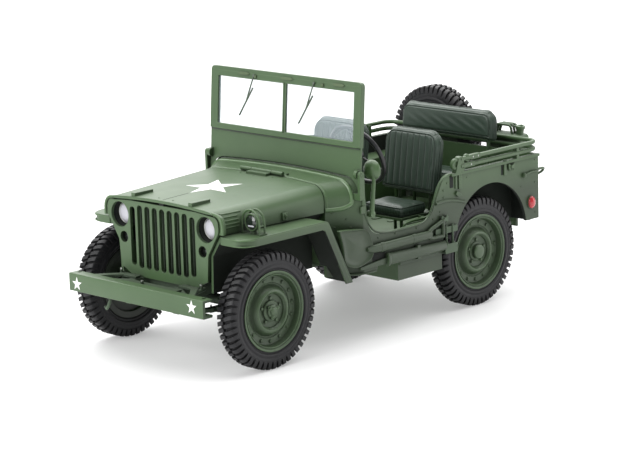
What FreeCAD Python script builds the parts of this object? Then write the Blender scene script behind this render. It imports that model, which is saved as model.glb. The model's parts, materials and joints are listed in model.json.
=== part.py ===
import FreeCAD, Part
import math
import os

# Open military 4x4 utility car, a display model. Millimetres: +X forward, +Y left, +Z up.
# The origin is on the ground, below the middle of the car's length and width.

# ---------------------------------------------------------------- driving dimensions
LENGTH = 180.0           # front bumper face to the back of the spare wheel
WIDTH = 80.0             # over the front tyres
FRONT_X = LENGTH / 2     # bumper face
BACK_X = -LENGTH / 2     # back of the spare wheel
FIT = 0.06               # radial clearance of a running fit
GAP = 0.35               # clearance between pieces that move past each other
APRON_GAP = 0.6          # clearance between the windshield's apron and the cowl, for its swing
LEVER_START = 0.35       # height above the floor at which a slanted lever stem starts

# wheels
TYRE_R = 20.4
TYRE_WIDTH = 7.8
TREAD_WIDTH = 6.4
RIM_R = 14.2             # outer edge of the rim's flange
BEAD_R = 13.2            # where the tyre sits on the rim
SPINDLE_R = 1.5
HUB_CAP_R = 3.0
AXLE_Z = TYRE_R
FRONT_AXLE_X = FRONT_X - 27.7
FRONT_WHEEL_Y = WIDTH / 2 - TYRE_WIDTH / 2

# body tub
BODY_HALF = WIDTH / 2 - 2.15
SHEET = 1.2              # thickness of the tub's panels
TUB_BACK_X = BACK_X + 9.3
TUB_TOP = 52.7
TUB_BOTTOM = 27.5        # underside of the floor, on the frame
TUB_REAR_EDGE = 28.0
REAR_AXLE_X = TUB_BACK_X + 32.2
REAR_WHEEL_Y = BODY_HALF - SHEET - GAP - TYRE_WIDTH / 2
ARCH_R = 20.2
ARCH_X = REAR_AXLE_X - 4.7
ARCH_Z = 25.5
ARCH_SILL = 33.4         # lower edge of the side between the arch and the door
TANK_BACK_X = REAR_AXLE_X + TYRE_R + 1.3
DOOR_BACK_X = TANK_BACK_X + 7.9
DOOR_SILL = 37.1
DOOR_FRONT_TOP = 53.8

# cowl, windshield and hood
COWL_BACK_X = FRONT_X - 74.6
HOOD_BACK_X = FRONT_X - 63.0
COWL_TOP = 59.4
COWL_BOTTOM = 24.0
COWL_SHOULDER = 7.0
HOOD_HALF_BACK = BODY_HALF - 7.35
HOOD_HALF_FRONT = BODY_HALF - 9.75
HOOD_TOP_BACK = 57.9
HOOD_TOP_FRONT = 56.1
HOOD_EDGE = 47.3         # lower edge of the hood's sides
HOOD_SHOULDER = 5.5
HOOD_SHEET = 1.0
HOOD_START_X = HOOD_BACK_X + GAP
HOOD_FRONT_X = FRONT_X - 13.8
SKIRT_FRONT_X = FRONT_X - 16.4
HINGE_X = HOOD_BACK_X + GAP / 2
HINGE_R = 0.75
HINGE_Z = HOOD_TOP_BACK + HINGE_R + 0.1
HINGE_PIN_R = 0.34
HINGE_HALF = 10.5        # half length of the whole hinge
HINGE_HOOD_HALF = 5.0    # half length of the hood's own barrel
# across the car: x, half width, low edge, top, shoulder radius
COWL_SECTIONS = [
    (COWL_BACK_X, BODY_HALF, COWL_BOTTOM, COWL_TOP, COWL_SHOULDER),
    (HOOD_BACK_X, HOOD_HALF_BACK, COWL_BOTTOM, HOOD_TOP_BACK, HOOD_SHOULDER),
]
HOOD_SECTIONS = [
    (HOOD_START_X, HOOD_HALF_BACK, HOOD_EDGE, HOOD_TOP_BACK, HOOD_SHOULDER),
    (HOOD_FRONT_X, HOOD_HALF_FRONT, HOOD_EDGE, HOOD_TOP_FRONT, HOOD_SHOULDER),
]
CROWN = 0.9              # rise of the hood and the cowl across their width
WINDSHIELD_TOP = 92.0
WINDSHIELD_RAKE = 4.5
WINDSHIELD_X = COWL_BACK_X + 0.8
WINDSHIELD_PIVOT = (COWL_BACK_X + 1.6, 60.0)
PIVOT_R = 0.7
BRACKET_HALF = 1.2       # half width of the windshield's side brackets
BRACKET_LENGTH = 8.9     # from the windshield's pivot down to a bracket's foot
FRAME_DEPTH = 1.8
PANE_HALF = BODY_HALF - 3.35
PANE_LOW = 70.8
PANE_HIGH = 88.8
PANE_GAP = 1.0           # half the width of the post between the panes

# grille and fenders
GRILLE_FACE_X = FRONT_X - 14.1
GRILLE_DEPTH = 1.2
GRILLE_TOP = 54.2
SLOT_PITCH = 3.8
SLOT_WIDTH = 2.6
SLOT_LOW = 30.6
SLOT_HIGH = 52.9
HEADLIGHT = (BODY_HALF - 16.05, 48.6, 4.5)   # y, z, radius of the grille's hole
MARKER = (BODY_HALF - 17.85, 40.8, 2.0)
RADIATOR_HALF = BODY_HALF - 21.45
FENDER_TOP = 46.9
FENDER_HALF = WIDTH / 2 - 0.4
FENDER_SHEET = 1.2
FENDER_LIP = 2.8         # height of the turned-down edge
FENDER_CORNER = 6.5      # radius of the front corner
FENDER_BEND_X = FRONT_X - 55.2
FENDER_FOOT = (FRONT_X - 66.8, 23.0)
APRON_Y = BODY_HALF - 15.4

# frame
RAIL_Y = 12.0
RAIL_WIDTH = 3.0
RAIL_TOP = TUB_BOTTOM
RAIL_BOTTOM = 23.5
BUMPER_HALF = BODY_HALF - 3.45
BUMPER_LOW = 22.1
BUMPER_HIGH = 28.5
BUMPER_SHEET = 1.0
BUMPER_DEPTH = 4.4

# front axle
KINGPIN_Y = FRONT_WHEEL_Y - 7.6
KINGPIN_R = 0.7
KNUCKLE_LOW = AXLE_Z - 3.0
KNUCKLE_HIGH = AXLE_Z + 3.0
KNUCKLE_R = 1.9
LUG = 1.2                # thickness of the yoke's lugs
ARM = 8.0                # kingpin to tie rod pin
ARM_DEPTH = 1.1
ARM_PIN_R = 0.55
TIE_ROD_Z = AXLE_Z - 1.2
TIE_ROD_R = 0.5
STEER_LIMIT = 20.0       # degrees each way at the front wheels
TUBE_R = 1.7             # axle tubes
DIFF_Y = -6.5
DIFF_R = 4.2

# engine and drive
ENGINE_X = (FRONT_X - 50.0, FRONT_X - 24.0)
ENGINE_Z = (25.2, 50.0)
GEARBOX_X = (COWL_BACK_X - 27.4, ENGINE_X[0])
GEARBOX_Z = (20.5, 26.0)
SHAFT_Z = 22.4
PINION_Z = AXLE_Z + 0.6
SHAFT_R = 0.9

# springs
SPRING_HALF = 19.5
SPRING_TOP = AXLE_Z - 2.4    # top of the spring pack under the axle
SPRING_RISE = 2.0
SPRING_DEPTH = 1.4
SPRING_WIDTH = 2.4
EYE_R = 1.0

# steering
STEERING_CENTRE = FreeCAD.Vector(COWL_BACK_X - 20.0, BODY_HALF - 20.85, 61.5)
STEERING_TILT = 25.0     # column above the horizontal, degrees
STEERING_RING_R = 11.8
STEERING_RIM_R = 0.9
COLUMN_R = 1.1
STEERING_STUB_R = 0.5

# seats
FLOOR_TOP = TUB_BOTTOM + SHEET
SEAT_Y = BODY_HALF - 19.35
SEAT_HALF = 10.2
SEAT_BACK_X = COWL_BACK_X - 46.6
SEAT_FRONT_X = COWL_BACK_X - 29.6
CUSHION_TOP = 41.6
CUSHION_DEPTH = 4.0
BACK_HALF = 14.2
BACK_LOW = 43.0
BACK_HIGH = 67.6
BACK_DEPTH = 4.2
BACK_LEAN = 8.0
REAR_BACK_LOW = 56.2
REAR_BACK_HIGH = 68.6
REAR_BACK_HALF = 24.0
REAR_SEAT_X = TUB_BACK_X + 7.2
REAR_CUSHION_HALF = 20.0
REAR_CUSHION_LENGTH = 13.0
REAR_CUSHION_TOP = 45.0
TUBE = 0.6               # radius of the seat tubes

# wheel boxes, rear load and fittings
BOX_TOP = 46.6
BOX_INNER_Y = REAR_WHEEL_Y - TYRE_WIDTH / 2 - GAP - SHEET
BOX_FRONT_X = REAR_AXLE_X + TYRE_R + GAP + SHEET
BOX_BACK_X = TUB_BACK_X + 3.2
BOX_SLOPE = (12.45, 16.6)    # run and rise of the box's slanted front
BOW_R = 0.8
BOW_LEVELS = (TUB_TOP + 2.0, TUB_TOP + 4.6)
BOW_FRONT_X = REAR_AXLE_X + 12.4
SPARE_Y = -17.6
SPARE_Z = 52.4
SPARE_X = BACK_X + TYRE_WIDTH / 2
CAN_SIZE = (6.6, 17.0, 24.0)
CAN_Y = 19.0
CAN_LOW = 35.5
CAN_STAND_OFF = 1.3
TANK_FRONT_X = COWL_BACK_X - 18.6
TANK_LOW = 18.0


# ---------------------------------------------------------------- shapes
def vec(x, y, z):
    return FreeCAD.Vector(x, y, z)


def block(x, y, z):
    """A box from three (low, high) pairs."""
    return Part.makeBox(x[1] - x[0], y[1] - y[0], z[1] - z[0], vec(x[0], y[0], z[0]))


def rod(start, end, radius):
    start = vec(*start)
    run = vec(*end) - start
    return Part.makeCylinder(radius, run.Length, start, run)


def pin(centre, axis, low, high, radius):
    """A cylinder along X, Y or Z between two coordinates on that axis."""
    start = list(centre)
    end = list(centre)
    start["XYZ".index(axis)] = low
    end["XYZ".index(axis)] = high
    return rod(start, end, radius)


def corner_cut(before, corner, after, radius):
    """The points where a corner's arc starts, passes and ends."""
    back = (before - corner).normalize()
    ahead = (after - corner).normalize()
    half = math.acos(max(-1.0, min(1.0, back.dot(ahead)))) / 2
    reach = min(radius / math.tan(half), 0.49 * before.distanceToPoint(corner),
                0.49 * after.distanceToPoint(corner))
    radius = reach * math.tan(half)
    middle = (back + ahead).normalize()
    arc_middle = corner + middle * (radius / math.sin(half) - radius)
    return corner + back * reach, arc_middle, corner + ahead * reach


def outline(points):
    """A closed wire through 3-D corners, each (point, corner radius)."""
    runs = []
    count = len(points)
    for index, (corner, radius) in enumerate(points):
        before = points[index - 1][0]
        after = points[(index + 1) % count][0]
        if radius > 0:
            runs.append(corner_cut(before, corner, after, radius))
        else:
            runs.append((corner, None, corner))
    edges = []
    for index, (start, middle, end) in enumerate(runs):
        if middle is not None:
            edges.append(Part.Arc(start, middle, end).toShape())
        next_start = runs[(index + 1) % count][0]
        if end.distanceToPoint(next_start) > 1e-6:
            edges.append(Part.makeLine(end, next_start))
    return Part.Wire(edges)


PLANES = {
    "X": (lambda a, b, level: vec(level, a, b), vec(1, 0, 0)),
    "Y": (lambda a, b, level: vec(a, level, b), vec(0, 1, 0)),
    "Z": (lambda a, b, level: vec(a, b, level), vec(0, 0, 1)),
}


def plate(corners, axis, low, high):
    """A prism along an axis. Corners are (a, b) or (a, b, corner radius), in the other two axes."""
    place, direction = PLANES[axis]
    points = [(place(c[0], c[1], low), c[2] if len(c) > 2 else 0.0) for c in corners]
    return Part.Face(outline(points)).extrude(direction * (high - low))


def spun(profile, centre, axis):
    """Turns (radius, offset along the axis) corners about an axis through the centre."""
    direction = {"X": vec(1, 0, 0), "Y": vec(0, 1, 0), "Z": vec(0, 0, 1)}[axis]
    side = vec(0, 0, 1) if axis != "Z" else vec(1, 0, 0)
    points = [vec(*centre) + side * radius + direction * offset for radius, offset in profile]
    face = Part.Face(Part.makePolygon(points + points[:1]))
    return face.revolve(vec(*centre), direction, 360)


def fused(shapes):
    shapes = list(shapes)
    result = shapes[0]
    for shape in shapes[1:]:
        result = result.fuse(shape)
    return result.removeSplitter()


def mirrored(shape):
    return shape.mirror(vec(0, 0, 0), vec(0, 1, 0))


def pair(shape):
    """A left piece and its right-hand mirror image, as two solids."""
    return Part.makeCompound([shape, mirrored(shape)])


def both(shape):
    """A left feature and its mirror image, joined or to be joined by what carries them."""
    return shape.fuse(mirrored(shape))


def turned(shape, centre, axis, degrees):
    result = shape.copy()
    result.rotate(vec(*centre), vec(*axis), degrees)
    return result


def arch_section(x, half, low, top, shoulder):
    """A hood-shaped wire across the car: flat sides, round shoulders, slightly crowned top."""
    side_top = top - CROWN
    reach = shoulder * math.sqrt(0.5)
    bend = (half - shoulder, side_top - shoulder)
    left = [vec(x, half, bend[1]), vec(x, bend[0] + reach, bend[1] + reach), vec(x, bend[0], side_top)]
    right = [vec(p.x, -p.y, p.z) for p in reversed(left)]
    foot_left = vec(x, half, low)
    foot_right = vec(x, -half, low)
    return Part.Wire([
        Part.makeLine(foot_left, left[0]),
        Part.Arc(*left).toShape(),
        Part.Arc(left[2], vec(x, 0, top), right[0]).toShape(),
        Part.Arc(*right).toShape(),
        Part.makeLine(right[2], foot_right),
        Part.makeLine(foot_right, foot_left),
    ])


def arch_loft(sections):
    """A solid between two arch sections, each (x, half width, low, top, shoulder radius)."""
    return Part.makeLoft([arch_section(*section) for section in sections], True, True)


def inset(section, amount):
    x, half, low, top, shoulder = section
    return x, half - amount, low - 1.0, top - amount, shoulder - amount


# ---------------------------------------------------------------- frame, axles and drive
def frame_rails():
    rail_y = (RAIL_Y - RAIL_WIDTH / 2, RAIL_Y + RAIL_WIDTH / 2)
    rail_back = TUB_BACK_X
    rail = block((rail_back, FRONT_X - SHEET), rail_y, (RAIL_BOTTOM, RAIL_TOP))
    parts = [both(rail)]
    inner = RAIL_Y - RAIL_WIDTH / 2
    # crossmembers: middle x, length, low z, high z
    members = [
        (FRONT_X - 8.0, 3.0, RAIL_BOTTOM, RAIL_TOP),
        (GRILLE_FACE_X - 4.4, 4.0, RAIL_BOTTOM, RAIL_TOP),
        (ENGINE_X[0] + 12.0, 4.0, ENGINE_Z[0] - 1.5, ENGINE_Z[0]),
        (GEARBOX_X[0] + 8.0, 5.0, GEARBOX_Z[1], RAIL_TOP),
        (REAR_AXLE_X + 12.0, 3.0, RAIL_BOTTOM, RAIL_TOP),
        (rail_back + 1.5, 3.0, RAIL_BOTTOM, RAIL_TOP),
    ]
    for middle, length, low, high in members:
        along = (middle - length / 2, middle + length / 2)
        parts.append(block(along, (-inner - 0.5, inner + 0.5), (low, high)))
    for axle_x in (FRONT_AXLE_X, REAR_AXLE_X):
        for side in (-1, 1):
            eye = (axle_x + side * SPRING_HALF, 0, SPRING_TOP + SPRING_RISE)
            across = (RAIL_Y - SPRING_WIDTH / 2, RAIL_Y + SPRING_WIDTH / 2)
            hanger = block((eye[0] - 1.4, eye[0] + 1.4), across, (eye[2] + 0.2, RAIL_BOTTOM + 0.5))
            hanger = hanger.cut(pin(eye, "Y", 0, 2 * RAIL_Y, EYE_R))
            parts.append(both(hanger))
    return fused(parts)


def leaf_spring(axle_x):
    """One arched pack with an eye at each end and a pad under the axle tube."""
    ends = SPRING_TOP + SPRING_RISE
    low_mid = SPRING_TOP - SPRING_DEPTH

    def place(dx, z):
        return vec(axle_x + dx, RAIL_Y - SPRING_WIDTH / 2, z)

    rear_top, rear_low = place(-SPRING_HALF, ends), place(-SPRING_HALF, ends - EYE_R)
    front_top, front_low = place(SPRING_HALF, ends), place(SPRING_HALF, ends - EYE_R)
    top = Part.Arc(rear_top, place(0, SPRING_TOP), front_top).toShape()
    low = Part.Arc(front_low, place(0, low_mid), rear_low).toShape()
    right = Part.makeLine(front_top, front_low)
    left = Part.makeLine(rear_low, rear_top)
    leaf = Part.Face(Part.Wire([top, right, low, left])).extrude(vec(0, SPRING_WIDTH, 0))
    y = (RAIL_Y - SPRING_WIDTH / 2, RAIL_Y + SPRING_WIDTH / 2)
    eyes = [pin((axle_x + side * SPRING_HALF, 0, ends), "Y", y[0], y[1], EYE_R) for side in (-1, 1)]
    pad = block((axle_x - 2.2, axle_x + 2.2), y, (low_mid + 0.2, AXLE_Z))
    pad = pad.cut(pin((axle_x, 0, AXLE_Z), "Y", 0, 2 * RAIL_Y, TUBE_R))
    return fused([leaf] + eyes + [pad])


def axle_tube(axle_x, half):
    tube = pin((axle_x, 0, AXLE_Z), "Y", -half, half, TUBE_R)
    ball = Part.makeSphere(DIFF_R, vec(axle_x, DIFF_Y, AXLE_Z))
    side = 1 if axle_x < 0 else -1
    nose = pin((0, DIFF_Y, PINION_Z), "X", axle_x, axle_x + side * (DIFF_R + 1.4), 1.6)
    return fused([tube, ball, nose])


def front_axle():
    wall = KINGPIN_Y - KNUCKLE_R - GAP - LUG
    tube = axle_tube(FRONT_AXLE_X, wall + 0.5)
    lug_high = KNUCKLE_HIGH + LUG / 10 + LUG
    lug_low = KNUCKLE_LOW - LUG / 10 - LUG
    yoke = block((FRONT_AXLE_X - 2.2, FRONT_AXLE_X + 2.2), (wall, wall + LUG), (lug_low, lug_high))
    for low in (lug_low, lug_high - LUG):
        lug = plate([(FRONT_AXLE_X - 2.2, wall), (FRONT_AXLE_X + 2.2, wall),
                     (FRONT_AXLE_X + 2.2, KINGPIN_Y + 2.0, 1.9), (FRONT_AXLE_X - 2.2, KINGPIN_Y + 2.0, 1.9)],
                    "Z", low, low + LUG)
        yoke = yoke.fuse(lug)
    bore = pin((FRONT_AXLE_X, KINGPIN_Y, 0), "Z", 0, 2 * AXLE_Z, KINGPIN_R + FIT)
    yoke = yoke.cut(bore)
    return fused([tube, yoke, mirrored(yoke)])


def rear_axle():
    shoulder = REAR_WHEEL_Y - TYRE_WIDTH / 2 - GAP
    tube = axle_tube(REAR_AXLE_X, shoulder)
    spindle = pin((REAR_AXLE_X, 0, AXLE_Z), "Y", -REAR_WHEEL_Y - 0.6, REAR_WHEEL_Y + 0.6, SPINDLE_R)
    drums = both(pin((REAR_AXLE_X, 0, AXLE_Z), "Y", shoulder - 1.6, shoulder, 6.0))
    return fused([tube, spindle, drums])


def knuckle():
    """The left steering knuckle: kingpin, wheel spindle, back plate and steering arm."""
    axis = (FRONT_AXLE_X, KINGPIN_Y, 0)
    barrel = pin(axis, "Z", KNUCKLE_LOW, KNUCKLE_HIGH, KNUCKLE_R)
    reach = LUG / 10 + LUG
    kingpin = pin(axis, "Z", KNUCKLE_LOW - reach, KNUCKLE_HIGH + reach, KINGPIN_R)
    spindle = pin((FRONT_AXLE_X, 0, AXLE_Z), "Y", KINGPIN_Y, FRONT_WHEEL_Y + 0.6, SPINDLE_R)
    face = FRONT_WHEEL_Y - TYRE_WIDTH / 2 - GAP
    drum = pin((FRONT_AXLE_X, 0, AXLE_Z), "Y", face - 0.9, face, 6.0)
    arm_x = FRONT_AXLE_X - ARM
    arm = plate([(FRONT_AXLE_X, KINGPIN_Y - 1.2), (FRONT_AXLE_X, KINGPIN_Y + 1.2),
                 (arm_x - 1.2, KINGPIN_Y + 1.2, 1.1), (arm_x - 1.2, KINGPIN_Y - 1.2, 1.1)],
                "Z", KNUCKLE_LOW, KNUCKLE_LOW + ARM_DEPTH)
    arm_pin = pin((arm_x, KINGPIN_Y, 0), "Z", KNUCKLE_LOW, TIE_ROD_Z + TIE_ROD_R + 0.4, ARM_PIN_R)
    return fused([barrel, kingpin, spindle, drum, arm, arm_pin])


def tie_rod():
    """A straight rod whose slotted ends let the steering arms swing in their arc."""
    arm_x = FRONT_AXLE_X - ARM
    swing = ARM * (1 - math.cos(math.radians(STEER_LIMIT)))
    back = arm_x - ARM_PIN_R - 0.15
    front = arm_x + swing + ARM_PIN_R + 0.15
    slot_half = ARM_PIN_R + 2 * FIT
    z = (TIE_ROD_Z - TIE_ROD_R, TIE_ROD_Z + TIE_ROD_R)
    wall = 0.6
    near, far = KINGPIN_Y - slot_half - wall, KINGPIN_Y + slot_half + wall
    eye = plate([(back - wall, near, 0.5), (front + wall, near, 0.5), (front + wall, far, 0.5),
                 (back - wall, far, 0.5)], "Z", z[0], z[1])
    slot = block((back, front), (KINGPIN_Y - slot_half, KINGPIN_Y + slot_half), (z[0] - 1, z[1] + 1))
    eye = eye.cut(slot)
    end = KINGPIN_Y - slot_half - wall / 2
    bar = pin((arm_x, 0, TIE_ROD_Z), "Y", -end, end, TIE_ROD_R)
    return fused([bar, eye, mirrored(eye)])


def engine_block():
    return block(ENGINE_X, (-8.0, 8.0), ENGINE_Z)


def gearbox():
    main = block(GEARBOX_X, (-5.0, 5.0), GEARBOX_Z)
    transfer = block((GEARBOX_X[0], GEARBOX_X[0] + 12.0), (-9.6, 5.0), GEARBOX_Z)
    return fused([main, transfer])


def drive_shafts():
    lug = DIFF_R + 1.4
    front = rod((GEARBOX_X[0] + 12.0, DIFF_Y - 1.6, SHAFT_Z), (FRONT_AXLE_X - lug, DIFF_Y, PINION_Z), SHAFT_R)
    rear = rod((GEARBOX_X[0], DIFF_Y, SHAFT_Z), (REAR_AXLE_X + lug, DIFF_Y, PINION_Z), SHAFT_R)
    return Part.makeCompound([front, rear])


def exhaust():
    """Pipe down from the engine, under the right-hand rail, back through the muffler and out to the side."""
    pipe_r = 0.9
    side_y = -RAIL_Y - 6.0
    inner_y = -RAIL_Y + RAIL_WIDTH / 2 + 1.3
    under_z = RAIL_BOTTOM - 1.6
    side_z = RAIL_BOTTOM - 1.1
    start_x = ENGINE_X[0] + 4.0
    corners = [
        (start_x, -8.0, ENGINE_Z[0] + 1.0),
        (start_x, inner_y, under_z),
        (ENGINE_X[0] - 2.0, inner_y, under_z),
        (ENGINE_X[0] - 6.0, side_y, side_z),
        (TANK_BACK_X + 5.0, side_y, side_z),
        (TANK_BACK_X + 3.0, -BODY_HALF + 4.0, side_z - 0.6),
    ]
    parts = [rod(a, b, pipe_r) for a, b in zip(corners, corners[1:])]
    parts += [Part.makeSphere(pipe_r, vec(*corner)) for corner in corners[1:-1]]
    parts.append(pin((0, side_y, side_z), "X", COWL_BACK_X - 26.0, COWL_BACK_X - 6.0, 2.2))
    hanger_x = (COWL_BACK_X - 17.0, COWL_BACK_X - 15.0)
    parts.append(block(hanger_x, (side_y - 1.0, side_y + 1.0), (side_z, TUB_BOTTOM)))
    return fused(parts).cut(engine_block())


# ---------------------------------------------------------------- wheels
def tyre(centre, axis="Y", out=1):
    """Profile in (radius, offset from the middle plane), rounded at the tread's edges."""
    half = TYRE_WIDTH / 2
    tread = TREAD_WIDTH / 2
    profile = [(BEAD_R, -half + 1.0), (RIM_R, -half + 0.4), (17.2, -half), (TYRE_R - 1.4, -tread - 0.2),
               (TYRE_R, -tread + 0.5), (TYRE_R, tread - 0.5), (TYRE_R - 1.4, tread + 0.2), (17.2, half),
               (RIM_R, half - 0.4), (BEAD_R, half - 1.0)]
    return spun([(r, out * offset) for r, offset in profile], centre, axis)


def rim(centre, axis="Y", out=1, bore=True):
    """A dished two-piece rim: well, disc with a bolt flange, raised ring and hub cap, open at the back."""
    half = TYRE_WIDTH / 2
    profile = [
        (SPINDLE_R + FIT, -half), (4.6, -half), (4.6, -half + 1.6), (11.2, -half + 1.6),
        (11.2, -half + 0.6), (RIM_R - 0.4, -half + 0.6), (BEAD_R, -half + 1.0), (BEAD_R, half - 1.0),
        (RIM_R - 0.3, half - 0.5), (RIM_R - 0.3, half - 0.05), (RIM_R - 1.3, half - 0.05),
        (12.0, half - 2.6), (8.6, half - 2.6), (7.2, half - 0.8), (6.4, half - 0.8), (5.6, half - 2.2),
        (HUB_CAP_R, half - 2.2), (HUB_CAP_R, half - 0.1), (0.0, half - 0.1), (0.0, 0.7),
        (SPINDLE_R + FIT, 0.7),
    ]
    if not bore:
        profile = profile[:-2] + [(0.0, -half)]
        profile[0] = (0.5, -half)
    return spun([(r, out * offset) for r, offset in profile], centre, axis)


WHEELS = [  # name, x, y, outward direction
    ("front_left", FRONT_AXLE_X, FRONT_WHEEL_Y, 1),
    ("front_right", FRONT_AXLE_X, -FRONT_WHEEL_Y, -1),
    ("rear_left", REAR_AXLE_X, REAR_WHEEL_Y, 1),
    ("rear_right", REAR_AXLE_X, -REAR_WHEEL_Y, -1),
]


def wheels():
    nodes = {}
    for name, x, y, out in WHEELS:
        nodes["tyre_" + name] = tyre((x, y, AXLE_Z), "Y", out)
        nodes["rim_" + name] = rim((x, y, AXLE_Z), "Y", out)
    nodes["spare_tyre"] = tyre((SPARE_X, SPARE_Y, SPARE_Z), "X", -1)
    nodes["spare_rim"] = rim((SPARE_X, SPARE_Y, SPARE_Z), "X", -1, bore=False)
    return nodes


# ---------------------------------------------------------------- tub
def side_panel():
    """The left side: a door cut-out with round corners, and the rear wheel arch."""
    front = COWL_BACK_X
    back = TUB_BACK_X
    corners = [
        (back, TUB_REAR_EDGE), (back, TUB_TOP), (DOOR_BACK_X - 8.5, TUB_TOP, 5.0),
        (DOOR_BACK_X, DOOR_SILL, 7.0), (front - 2.8, DOOR_SILL + 0.2, 6.0),
        (front - 1.0, DOOR_FRONT_TOP, 0.6), (front, DOOR_FRONT_TOP),
        (front, COWL_BOTTOM), (front - 6.4, COWL_BOTTOM, 1.0), (front - 7.4, TUB_BOTTOM),
        (TANK_BACK_X + 2.0, TUB_BOTTOM), (TANK_BACK_X - 2.0, ARCH_SILL),
        (ARCH_X, ARCH_SILL), (ARCH_X, TUB_REAR_EDGE),
    ]
    panel = plate(corners, "Y", BODY_HALF - SHEET, BODY_HALF)
    panel = panel.cut(pin((ARCH_X, 0, ARCH_Z), "Y", 0, WIDTH, ARCH_R))
    flange = block((back, DOOR_BACK_X - 12.0), (BODY_HALF, BODY_HALF + 0.8), (TUB_TOP - 1.0, TUB_TOP))
    return fused([panel, flange])


def rear_panel():
    half = BODY_HALF - SHEET
    return block((TUB_BACK_X, TUB_BACK_X + SHEET), (-half, half), (TUB_REAR_EDGE, TUB_TOP))


def floor_pan():
    """Front and rear floor with a sloped toe board, on the frame rails."""
    half = BODY_HALF - SHEET
    front = HOOD_BACK_X - SHEET
    rear_half = BOX_INNER_Y
    narrow = HOOD_HALF_BACK - SHEET
    floor = plate([(TUB_BACK_X + SHEET, -rear_half), (TUB_BACK_X + SHEET, rear_half),
                   (BOX_FRONT_X, rear_half), (BOX_FRONT_X, half), (COWL_BACK_X, half),
                   (front, narrow), (front, -narrow), (COWL_BACK_X, -half),
                   (BOX_FRONT_X, -half), (BOX_FRONT_X, -rear_half)],
                  "Z", TUB_BOTTOM, FLOOR_TOP)
    toe = plate([(front, FLOOR_TOP), (front, FLOOR_TOP + 8.0), (front - 7.0, FLOOR_TOP)],
                "Y", -narrow, narrow)
    return fused([floor, toe])


def wheel_box():
    """Sheet box over the left rear wheel with a slanted front, open below and at the arch."""
    run, rise = BOX_SLOPE

    def side(inset, low):
        front = BOX_FRONT_X - inset
        back = BOX_BACK_X + inset
        top = BOX_TOP - inset
        return [(back, low), (back, top), (front - run, top), (front, top - rise), (front, low)]

    outer = plate(side(0.0, TUB_BOTTOM), "Y", BOX_INNER_Y, BODY_HALF - SHEET)
    inner = plate(side(SHEET, TUB_BOTTOM - 1.0), "Y", BOX_INNER_Y + SHEET, BODY_HALF)
    return outer.cut(inner)


def fuel_tank_well():
    y = (BODY_HALF - 20.0, BODY_HALF - SHEET)
    low = block((TANK_BACK_X, TANK_FRONT_X), y, (TANK_LOW, TUB_BOTTOM))
    lip = block((TANK_BACK_X, TANK_FRONT_X), (y[1], BODY_HALF), (TUB_BOTTOM - 3.6, TUB_BOTTOM))
    return fused([low, lip])


def tub():
    return {
        "side_panel_left": side_panel(),
        "side_panel_right": mirrored(side_panel()),
        "rear_panel": rear_panel(),
        "floor_pan": floor_pan(),
        "wheel_boxes": pair(wheel_box()),
        "fuel_tank_well": fuel_tank_well(),
    }


# ---------------------------------------------------------------- cowl, hood, windshield
def cowl():
    """The scuttle from the windshield to the hood, its fire wall, hinge barrels and windshield brackets."""
    inner = arch_loft([inset(section, SHEET) for section in COWL_SECTIONS])
    shell = arch_loft(COWL_SECTIONS).cut(inner)
    wall = block((HOOD_BACK_X - SHEET, HOOD_BACK_X), (-BODY_HALF, BODY_HALF), (FLOOR_TOP, WINDSHIELD_TOP))
    wall = wall.common(inner)
    parts = [shell, wall]
    barrel = pin((HINGE_X, 0, HINGE_Z), "Y", HINGE_HOOD_HALF + GAP / 2, HINGE_HALF, HINGE_R)
    barrel = barrel.cut(pin((HINGE_X, 0, HINGE_Z), "Y", 0, HINGE_HALF - 0.8, HINGE_PIN_R + FIT))
    leaf = block((HINGE_X - 3.0, HINGE_X - 0.5), (HINGE_HOOD_HALF + GAP / 2, HINGE_HALF),
                 (HINGE_Z - HINGE_R - 0.4, HINGE_Z - 0.2))
    parts.append(both(barrel.fuse(leaf)))
    x, z = WINDSHIELD_PIVOT
    outer = (BODY_HALF + GAP, BODY_HALF + GAP + 1.1)
    foot_z = (z - BRACKET_LENGTH, z - BRACKET_LENGTH + 2.4)
    bracket = plate([(x - BRACKET_HALF, foot_z[0]), (x - BRACKET_HALF, z + BRACKET_HALF, 1.1),
                     (x + BRACKET_HALF, z + BRACKET_HALF, 1.1), (x + BRACKET_HALF, foot_z[0])],
                    "Y", outer[0], outer[1])
    foot = block((x - BRACKET_HALF, x + BRACKET_HALF), (BODY_HALF - 2.2, outer[0]), foot_z)
    bracket = bracket.fuse(foot).cut(inner)
    bracket = bracket.cut(pin((x, 0, z), "Y", 0, WIDTH, PIVOT_R + FIT))
    parts.append(both(bracket))
    return fused(parts)


def dashboard():
    inner = arch_loft([inset(section, SHEET) for section in COWL_SECTIONS])
    x = COWL_BACK_X + 0.2
    slab = block((x, x + SHEET), (-BODY_HALF, BODY_HALF), (46.5, WINDSHIELD_TOP))
    return slab.common(inner).cut(column_rod(COLUMN_R, -2.0, 60.0))


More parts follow.
